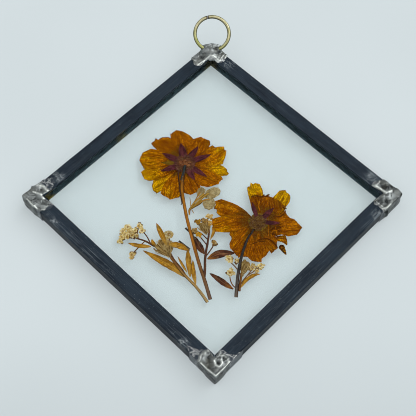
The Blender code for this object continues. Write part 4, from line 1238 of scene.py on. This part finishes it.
def add_buds(body, x, y, radius, draw, yellow, brown, core):
    """Smaller florets about one, browner the lower they lie, as painted shade."""
    for _ in range(BUDS):
        angle = draw.uniform(0, math.tau)
        small = radius * draw.uniform(0.45, 0.70)
        apart = radius * draw.uniform(0.5, 1.15)
        drop = draw.random()
        bud_x = x + apart * math.cos(angle)
        bud_y = y + apart * math.sin(angle)
        # painted shade: the lower a bud lies, the darker it is
        dark = brown + 0.5 * inner(bud_x, bud_y, core) + 1.5 * drop * drop
        add_floret(body, bud_x, bud_y, small, FLORET_HEIGHT - 0.02 - 0.32 * drop, draw, yellow, dark, 0.3)


def tuft_place(tuft, share, turn):
    """A place in a tuft, which narrows towards its root."""
    middle, half_sizes, root = (Vector(values) for values in tuft)
    spot = Vector((half_sizes.x * share * math.cos(turn), half_sizes.y * share * math.sin(turn)))
    axis = (root - middle).normalized()
    across = left_of(axis)
    pinch = 0.65 * ease(spot.dot(axis) / max(half_sizes), -0.4, 0.9)
    return middle + spot - across * spot.dot(across) * pinch


def add_heap(body, tuft, seed):
    """The ragged heap under a tuft's fibres."""
    root_x, root_y = tuft[2]
    rings = []
    for i in range(11):
        ring = []
        for turn in turns(48):
            ragged = 0.80 + 0.28 * rough(1.8 * math.cos(turn), 1.8 * math.sin(turn), seed)
            reach = ragged * max(i, 0.2) / 10
            x, y = tuft_place(tuft, reach, turn)
            fan = math.atan2(y - root_y, x - root_x)
            lumps = rough(x * 0.9, y * 0.9, seed) + 0.7 * rough(fan * 9.0, reach * 0.8, seed)
            z = TUFT_HEIGHT + 0.05 * (1 - reach * reach) + 0.08 * lumps
            ring.append(((x, y, z), (turn, reach, seed), (0.40 + 0.5 * lumps, 0.0, 0.0)))
        rings.append(ring)
    body.disc(rings, HEAP_THICK)


def add_fibre(body, tuft, draw, number):
    """One curled woolly fibre that fans out from a tuft's root."""
    angle = draw.uniform(0, math.tau)
    share = 1.04 * math.sqrt(draw.random())
    tip = tuft_place(tuft, share, angle)
    spot = Vector(tuft[2]).lerp(tip, draw.uniform(0.35, 0.85))
    z = TUFT_HEIGHT + draw.uniform(-0.10, 0.24) * (1 - 0.6 * share)
    bend = draw.uniform(-0.9, 0.9)
    heading = math.atan2(tip.y - spot.y, tip.x - spot.x) - bend / 2
    length = min(3.0, (tip - spot).length)
    thick = draw.uniform(0.06, 0.17)
    shade = 1.1 * draw.random() - 0.05
    rings = []
    for i in range(6):
        t = i / 5
        ahead = Vector((math.cos(heading), math.sin(heading)))
        left = left_of(ahead) * thick * (1 - 0.75 * abs(2 * t - 1) ** 2)
        rings.append([((*(spot + left * math.cos(turn)), z + left.length * math.sin(turn)),
                       (turn, t, number), (shade, t, 0.0)) for turn in turns(3)])
        spot = spot + ahead * length / 5
        heading += bend / 5
    body.tube(rings)


def build_sprig(name, sprig, looks, seed):
    """Twigs, florets and fluff stand for the sprig's one solid, and each leaf for its own."""
    draw = random.Random(seed)
    twigs = Body()
    for number, (start, end, route) in enumerate(sprig["twigs"]):
        tone = None if number == 0 else SIDE_TWIG_TONE
        ribbed_tube(twigs, route, (start, end), TWIG_HEIGHT, TWIG_FLATTEN, number + seed, 9, tone)
    twigs.finish(name + "_twigs", looks[name + "_twigs"], "brown_stem", [name + "_stem"])
    florets = Body()
    for x, y, radius in sprig["florets"]:
        husk = radius > HUSK_RADIUS
        yellow = draw.uniform(*sprig["yellow"])
        brown = HUSK_BROWN if husk else draw.uniform(*sprig["brown"]) + 0.45 * inner(x, y, sprig["core"])
        add_floret(florets, x, y, radius * FLORET_GROWTH, FLORET_HEIGHT, draw, yellow, brown, 0.75)
        add_heart(florets, x, y, radius * FLORET_GROWTH, draw, brown)
        if not husk:
            add_buds(florets, x, y, radius, draw, yellow, brown, sprig["core"])
    florets.finish(name + "_florets", looks["dried_florets"], "dried_florets", [name + "_stem"])
    fluff = Body()
    half_wide, half_deep = sprig["tuft"][1]
    add_heap(fluff, sprig["tuft"], draw.uniform(0, 50))
    for number in range(round(FIBRES * half_wide * half_deep)):
        add_fibre(fluff, sprig["tuft"], draw, number)
    fluff.finish(name + "_fluff", looks["fluff"], "dried_florets", [name + "_stem"])
    for number, (leaf, (layer, width, route)) in enumerate(sprig["leaves"].items()):
        slot = "brown_leaf" if leaf in BROWN_LEAVES else "golden_leaf"
        build_leaf(leaf, layer, width, route, looks[slot], slot, seed + number * 1.9)


# ---------------------------------------------------------------- cames
def nearness(place, spots):
    """How near a place is to the listed spots in plan: 1 on a spot, 0 beyond its reach."""
    return max(strength * (1 - ease(math.hypot(place.x - x, place.y - y), reach / 3, reach))
               for x, y, reach, strength in spots)


def came_profile():
    """The U section as (distance in from the outer edge, height), with rounded outer edges."""
    bends = [math.pi / 2 * i / 5 for i in range(6)]
    across = [CAME_ROUND * (1 - math.cos(bend)) for bend in bends]
    up = [CAME_ROUND * (1 - math.sin(bend)) for bend in bends]
    back = [(CAME_FACE - 0.15 - i * 0.5, 0.0) for i in range(10)]
    back_turn = list(zip(up, across))
    web = [(0.0, CAME_ROUND + (CAME_DEPTH - 2 * CAME_ROUND) * i / 6) for i in range(1, 6)]
    front_turn = [(b, CAME_DEPTH - height) for b, height in zip(across, up)]
    front = [(1.35 + i * 0.5, CAME_DEPTH) for i in range(10)]
    flange = CAME_DEPTH - CAME_WALL
    lip = [(CAME_FACE - 0.12, CAME_DEPTH), (CAME_FACE, CAME_DEPTH - 0.15), (CAME_FACE, flange)]
    inside = [(CAME_WALL, flange), (CAME_WALL, CAME_WALL), (CAME_FACE, CAME_WALL), (CAME_FACE, 0.12)]
    return back + back_turn + web + front_turn + front + lip + inside


def face_rise(along, b, dents, seed):
    """How far the face of a fine came lies above its solid's: wavy, and sunk at its dents."""
    rise = 0.045 * rough(along * 0.10, b * 0.25, seed + 1) + 0.02 * rough(along * 0.7, b, seed + 2)
    rise -= CAME_INSET
    for dent_along, dent_b, size, depth in dents:
        if abs(dent_along - along) < 2 * size:
            rise -= depth * math.exp(-((dent_along - along) ** 2 + (dent_b - b) ** 2) / size ** 2)
    return rise


def build_cames(material):
    """Mitred strips of U section with wavy faces, small dents and dinged edges."""
    profile = came_profile()
    for number, (name, (turn, wear)) in enumerate(CAMES.items()):
        draw = random.Random(number + 11)
        dents = [(draw.uniform(-50, 50), draw.uniform(0, CAME_FACE), draw.uniform(0.5, 1.4),
                  draw.uniform(0.04, 0.13)) for _ in range(round(20 + 30 * wear))]
        spin = Matrix.Rotation(math.radians(turn), 3, "Z")
        seed = number * 9.1
        rings = []
        for i in range(CAME_STEPS + 1):
            ring = []
            for b, height in profile:
                along = (2 * i / CAME_STEPS - 1) * (SIDE / 2 - b - MITRE_GAP)
                edge = 0.05 * rough(along * 0.12, height * 0.2, seed)
                edge += 0.03 * rough(along * 0.5, height, seed)
                rise = face_rise(along, b, dents, seed) if height > CAME_DEPTH - CAME_WALL else 0.0
                out = SIDE / 2 - b - CAME_INSET + edge * ease(2.0 - b, 0.0, 2.0)
                place = spin @ Vector((out, along, CAME_BACK + height + rise))
                inside = height < CAME_DEPTH - 0.4 and b > CAME_WALL - 0.1
                gilt = nearness(place, GILT_SPOTS) if inside else 0.0
                rubbed = nearness(place, WORN_SPOTS) * (1 - ease(b, 2.4, 4.4))
                # Last in the tone: -1 inside the channel, for painted light there, or the share of the
                # depth, for painted shade on the walls below the face.
                ring.append((place, (b + height, along, seed),
                             (max(wear, rubbed, nearness(place, SMEARS)), gilt,
                              -1.0 if inside else height / CAME_DEPTH)))
            rings.append(ring)
        body = Body()
        body.tube(rings)
        body.finish(name + "_fine", material, "came_metal", [name], 40.0)


# ---------------------------------------------------------------- solder and ring
def remeshed(mesh, voxel):
    """A mesh's outside as even small faces, with shapes that overlap joined."""
    shape = link("shape", mesh)
    modifier = shape.modifiers.new("remesh", "REMESH")
    modifier.mode = "VOXEL"
    modifier.voxel_size = voxel
    bpy.context.view_layer.update()
    made = bpy.data.meshes.new_from_object(shape.evaluated_get(bpy.context.evaluated_depsgraph_get()))
    bpy.data.objects.remove(shape)
    return made


def arm_end(arm, b):
    """How far an arm of solder runs along its came at a distance in from the outer edge."""
    for low, high, start, end in zip(ARM_STATIONS, ARM_STATIONS[1:], arm, arm[1:]):
        if b <= high:
            return start + (end - start) * max(0.0, (b - low) / (high - low))
    return arm[-1]


def to_route(x, y, route):
    """The distance in plan from a place to a route."""
    nearest = math.inf
    for (x1, y1), (x2, y2) in zip(route, route[1:]):
        dx, dy = x2 - x1, y2 - y1
        t = min(1.0, max(0.0, ((x - x1) * dx + (y - y1) * dy) / (dx * dx + dy * dy)))
        nearest = min(nearest, math.hypot(x - x1 - t * dx, y - y1 - t * dy))
    return nearest


def bell(distance, width):
    """1 at no distance, with a smooth fall over the width."""
    return math.exp(-(distance / width) ** 2)


def solder_work(name, lumps):
    """A corner's solid with its lumps added, as one smooth even mesh to work on."""
    work = bmesh.new()
    work.from_mesh(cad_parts[name].data)
    for (x, y, z), half_sizes in lumps:
        grown = bmesh.ops.create_icosphere(work, subdivisions=3, radius=MM)["verts"]
        bmesh.ops.scale(work, vec=half_sizes, verts=grown)
        bmesh.ops.translate(work, vec=Vector((x, y + SQUARE_Y, z)) * MM, verts=grown)
    joined = bpy.data.meshes.new(name)
    work.to_mesh(joined)
    work.free()
    mesh = remeshed(joined, SOLDER_VOXEL * MM)
    work = bmesh.new()
    work.from_mesh(mesh)
    for _ in range(SOLDER_SMOOTHING):
        bmesh.ops.smooth_vert(work, verts=work.verts, factor=0.5, use_axis_x=True, use_axis_y=True,
                              use_axis_z=True)
    work.normal_update()
    return mesh, work


def solder_point(corner, spot, seed):
    """How far a place on a corner moves along its normal, its shift besides, and its tone."""
    unturn = Matrix.Rotation(-math.radians(corner["turn"]), 3, "Z")
    local = unturn @ Vector((spot.x, spot.y, 0.0))
    dx = abs(local.x) / HALF
    dy = (local.y - SIDE * HALF) / HALF
    along = (dx - dy) / 2
    b = -(dx + dy) / 2
    side = 0 if local.x < 0 else 1
    front = ease(spot.z, CAME_FRONT - 0.4, CAME_FRONT + 0.1)
    back = 1 - ease(spot.z, 0.2, 1.2)
    end = 1 - ease(arm_end(corner["arms"][side], b) - along, 0.2, 3.2)

    # Its skin has rounded cells with creases between them, and a fine grain.
    cells = noise.voronoi(Vector((spot.x * 0.20, spot.y * 0.20, spot.z * 0.10 + seed)))[0][0]
    near, next_near = noise.voronoi(Vector((spot.x * 0.40, spot.y * 0.40, spot.z * 0.25 + seed)))[0][:2]
    grain = rough(spot.x * 0.9, spot.y * 0.9, spot.z * 0.9 + seed)
    relief = 0.60 * (cells - 0.45) + 0.12 * rough(spot.x * 0.25, spot.y * 0.25, seed) + 0.05 * grain
    relief -= 0.11 * (1 - ease(next_near - near, 0.0, 0.30))

    # Past its edge, which has a lip with a painted highlight, it is a thin smear on the patina.
    past = along - corner["covered"][side] + 1.3 * rough(spot.x * 0.5, spot.y * 0.5, seed + 3)
    smear = ease(past, -0.6, 1.2)
    lip = 0.6 * max(bell(past + 0.8, 0.3), bell(b - 5.95, 0.28) * (1 - smear))
    lip *= front * ease(grain, -0.6, 0.2)
    rise = 0.16 * lip
    # Ridges rise and carry the lip's painted highlight; pits sink and carry painted shade.
    for radius, height, route in corner["ridges"]:
        near = bell(to_route(spot.x, spot.y, route), radius) * front
        rise += height * near
        lip = max(lip, 0.9 * near)
    pit_shade = 0.0
    for x, y, radius, depth in corner["pits"]:
        near = bell(math.hypot(spot.x - x, spot.y - y), radius) * front
        rise -= depth * near
        pit_shade = max(pit_shade, near)
    move = relief * (1 - back) * (1 - 0.7 * max(smear, end * (1 - front))) + rise * (1 - 0.5 * smear)

    # Towards its ends and edges it thins down to the came.
    start = corner["close"][side]
    close = max(smear, end, ease(along, start, start + 3.0))
    sink = max(0.65 * front * end, 0.80 * smear * front) * max(0.0, spot.z - CAME_FRONT - 0.10)
    sink = max(sink, 0.9 * front * close * (1 - ease(b, 0.0, 1.6)) * max(0.0, spot.z - CAME_FRONT - 0.05))
    inwards = close * max(0.0, -b - 0.12) * HALF
    pressed = 0.5 * max(0.0, local.y - corner.get("crown", math.inf))
    shift = unturn.transposed() @ Vector((inwards * (1 if side == 0 else -1), -inwards - pressed, -sink))
    # painted light: brighter where the relief stands high, darker in its creases and pits, on its sides and
    # by a painted shade of each corner's own
    shade = 0.48 - corner["painted_shade"] + 0.75 * relief - 0.35 * pit_shade - corner["side"] * (1 - front)
    far = max(smear, end * (1 - front)) * (2 - front) + ease(past, 3.0, 8.0)
    return move, shift, (min(1.0, max(0.0, shade)), far, min(1.0, lip))


def build_solder(material):
    """Each corner's solid, remeshed finely, creased, ridged, pitted and thinned at its ends."""
    for number, (name, corner) in enumerate(SOLDER_CORNERS.items()):
        mesh, work = solder_work(name, corner["lumps"])
        tones = []
        for vert in work.verts:
            spot = vert.co / MM - Vector((0, SQUARE_Y, 0))
            move, shift, tone = solder_point(corner, spot, number * 5.7)
            vert.co += (vert.normal * move + shift) * MM
            vert.co.z = max(vert.co.z, 0.0)
            tones.append(tone)
        work.to_mesh(mesh)
        work.free()
        carry(mesh, "tone", tones)
        finish_mesh(name + "_fine", mesh, material, [name], 80.0)


def build_ring(material):
    """The split ring: round wire, a little uneven, with domed ends at the split."""
    half_split = RING_SPLIT_WIDTH / 2 / RING_RADIUS
    tilt = Matrix.Rotation(RING_TILT, 3, "X")
    rings = []
    for i in range(RING_STEPS + 1):
        t = i / RING_STEPS
        angle = RING_SPLIT + half_split + (math.tau - 2 * half_split) * t
        radius = RING_SHOWN_WIRE / 2 * (1 + 0.03 * rough(3 * math.cos(angle), 3 * math.sin(angle)))
        radius *= {0: 0.86, 1: 0.97}.get(min(i, RING_STEPS - i), 1.0)
        stain = 1 - ease(min(t, 1 - t) * math.tau * RING_RADIUS, 0.2, 0.9)
        low = ease(-math.sin(angle + 0.4), -0.2, 0.9)
        out = Vector((math.cos(angle), math.sin(angle), 0.0))
        ring = []
        for turn in turns(20):
            wire = out * (RING_RADIUS + radius * math.cos(turn)) + Vector((0, 0, radius * math.sin(turn)))
            # painted shade, strongest at the wire's inner and outer sides
            painted_shade = ease(abs(math.cos(turn)), 0.45, 0.92)
            ring.append((Vector((*RING_MIDDLE, RING_HEIGHT)) + tilt @ wire,
                         (turn, angle * RING_RADIUS, 1.0), (painted_shade, stain, low)))
        rings.append(ring)
    body = Body()
    body.tube(rings)
    body.finish("hanging_ring_fine", material, "brass_ring", ["hanging_ring"])


# ---------------------------------------------------------------- stage
def build_stage():
    """A pale floor that reaches out of every view."""
    mesh = bpy.data.meshes.new("floor")
    work = bmesh.new()
    bmesh.ops.create_grid(work, x_segments=1, y_segments=1, size=3.0)
    work.to_mesh(mesh)
    work.free()
    mesh.materials.append(floor_look())
    link("floor", mesh)


def build_light():
    """A soft sky, dim at the horizon, with a broad main light and a dark card over the panes."""
    world = bpy.data.worlds.new("studio")
    bpy.context.scene.world = world
    world.use_nodes = True
    nodes = Nodes(world.node_tree)
    towards = nodes.add("Generated", "TexCoord", {})

    def patch(direction, beyond, within, strength):
        """A factor about a direction: 1 beyond one angle, and the strength within the other."""
        facing = nodes.add("Value", "VectorMath", {0: towards, 1: Vector(direction).normalized()},
                           operation="DOT_PRODUCT")
        return nodes.steps(facing, math.cos(math.radians(beyond)), math.cos(math.radians(within)),
                           1.0, strength)

    sky = nodes.ramp(nodes.split(towards)[2], [(0.02, (0.24, 0.25, 0.27, 1)), (0.22, (0.34, 0.36, 0.38, 1)),
                                               (0.50, (0.86, 0.88, 0.89, 1)), (1.0, (0.98, 1.0, 1.01, 1))])
    strength = patch(DARK_CARD, 24, 11, 0.07) * patch(KEY_LIGHT, 42, 12, 2.6)
    nodes.set(nodes.tree.nodes["Background"], {"Color": sky, "Strength": strength})


def build_camera():
    data = bpy.data.cameras.new("camera")
    data.lens = CAMERA_LENS
    data.clip_start = 0.01
    camera = link("camera", data)
    camera.location = Vector(CAMERA_PLACE) * MM
    look_at = (Vector(CAMERA_AIM) - Vector(CAMERA_PLACE)).to_track_quat("-Z", "Y")
    camera.rotation_mode = "QUATERNION"
    camera.rotation_quaternion = look_at @ Quaternion((0, 0, 1), CAMERA_ROLL)
    bpy.context.scene.camera = camera


# ---------------------------------------------------------------- everything
def build_specimens():
    looks = {
        "slate_stem": stem_look("slate_stem", (0.0, 52, 40, 30), (0.2, 44, 48, 48), (0.75, 52, 52, 50),
                                (1.0, 98, 84, 72)),
        "left_bloom_stem": stem_look("brown_stem", (0.0, 50, 58, 58), (0.015, 50, 26, 18),
                                     (0.12, 128, 80, 18), (0.30, 172, 108, 14), (0.66, 162, 98, 18),
                                     (0.84, 124, 84, 48), (1.0, 112, 84, 66)),
        "pale_bloom_stalk": stem_look("pale_bloom_stalk", (0.0, 182, 140, 52), (1.0, 176, 122, 36)),
        "left_sprig_twigs": stem_look("left_sprig_twigs", (0.0, 184, 154, 102), (0.26, 170, 130, 70),
                                      (0.42, 134, 88, 38), (0.62, 92, 54, 28), (1.0, 96, 60, 34)),
        "middle_sprig_twigs": stem_look("middle_sprig_twigs", (0.0, 96, 64, 46), (0.5, 84, 46, 26),
                                        (0.7, 104, 66, 40), (1.0, 120, 84, 48)),
        "right_sprig_twigs": stem_look("right_sprig_twigs", (0.0, 122, 74, 30), (0.5, 124, 78, 34),
                                       (1.0, 134, 100, 52)),
        "dried_florets": floret_look(),
        "fluff": fluff_look(),
        "golden_leaf": leaf_look("golden_leaf", (178, 123, 12), (198, 152, 60), (112, 72, 8),
                                 (170, 132, 58)),
        "brown_leaf": leaf_look("brown_leaf", (86, 42, 18), (136, 92, 58), (46, 22, 12), (140, 84, 22)),
    }
    amber = petal_look()
    calyx = calyx_look()
    build_petals("left_bloom", LEFT_BLOOM, amber, "amber_petal")
    build_petals("right_bloom", RIGHT_BLOOM, amber, "amber_petal")
    build_petals("pale_bloom", PALE_BLOOM, pale_look(), "pale_petal")
    build_calyx("left_bloom_calyx", LEFT_BLOOM, calyx, 2.0)
    build_calyx("right_bloom_calyx", RIGHT_BLOOM, calyx, 6.0)
    build_scraps(amber)
    build_stems(looks)
    for number, (name, sprig) in enumerate(SPRIGS.items(), 1):
        build_sprig(name, sprig, looks, number * 3)


def build_frame():
    build_cames(came_look())
    build_solder(solder_look())
    build_ring(brass_look())
    glass = glass_look()
    for name in ("back_glass", "front_glass"):
        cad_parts[name].material_slots[0].material = glass


build_camera()
build_stage()
build_light()
bpy.context.scene.view_settings.view_transform = "Standard"
bpy.context.scene.cycles.blur_glossy = 0.0     # or the panes dim what lies behind them
bpy.context.scene.cycles.filter_width = 0.95   # a crisp picture, as the photo's
build_frame()
build_specimens()
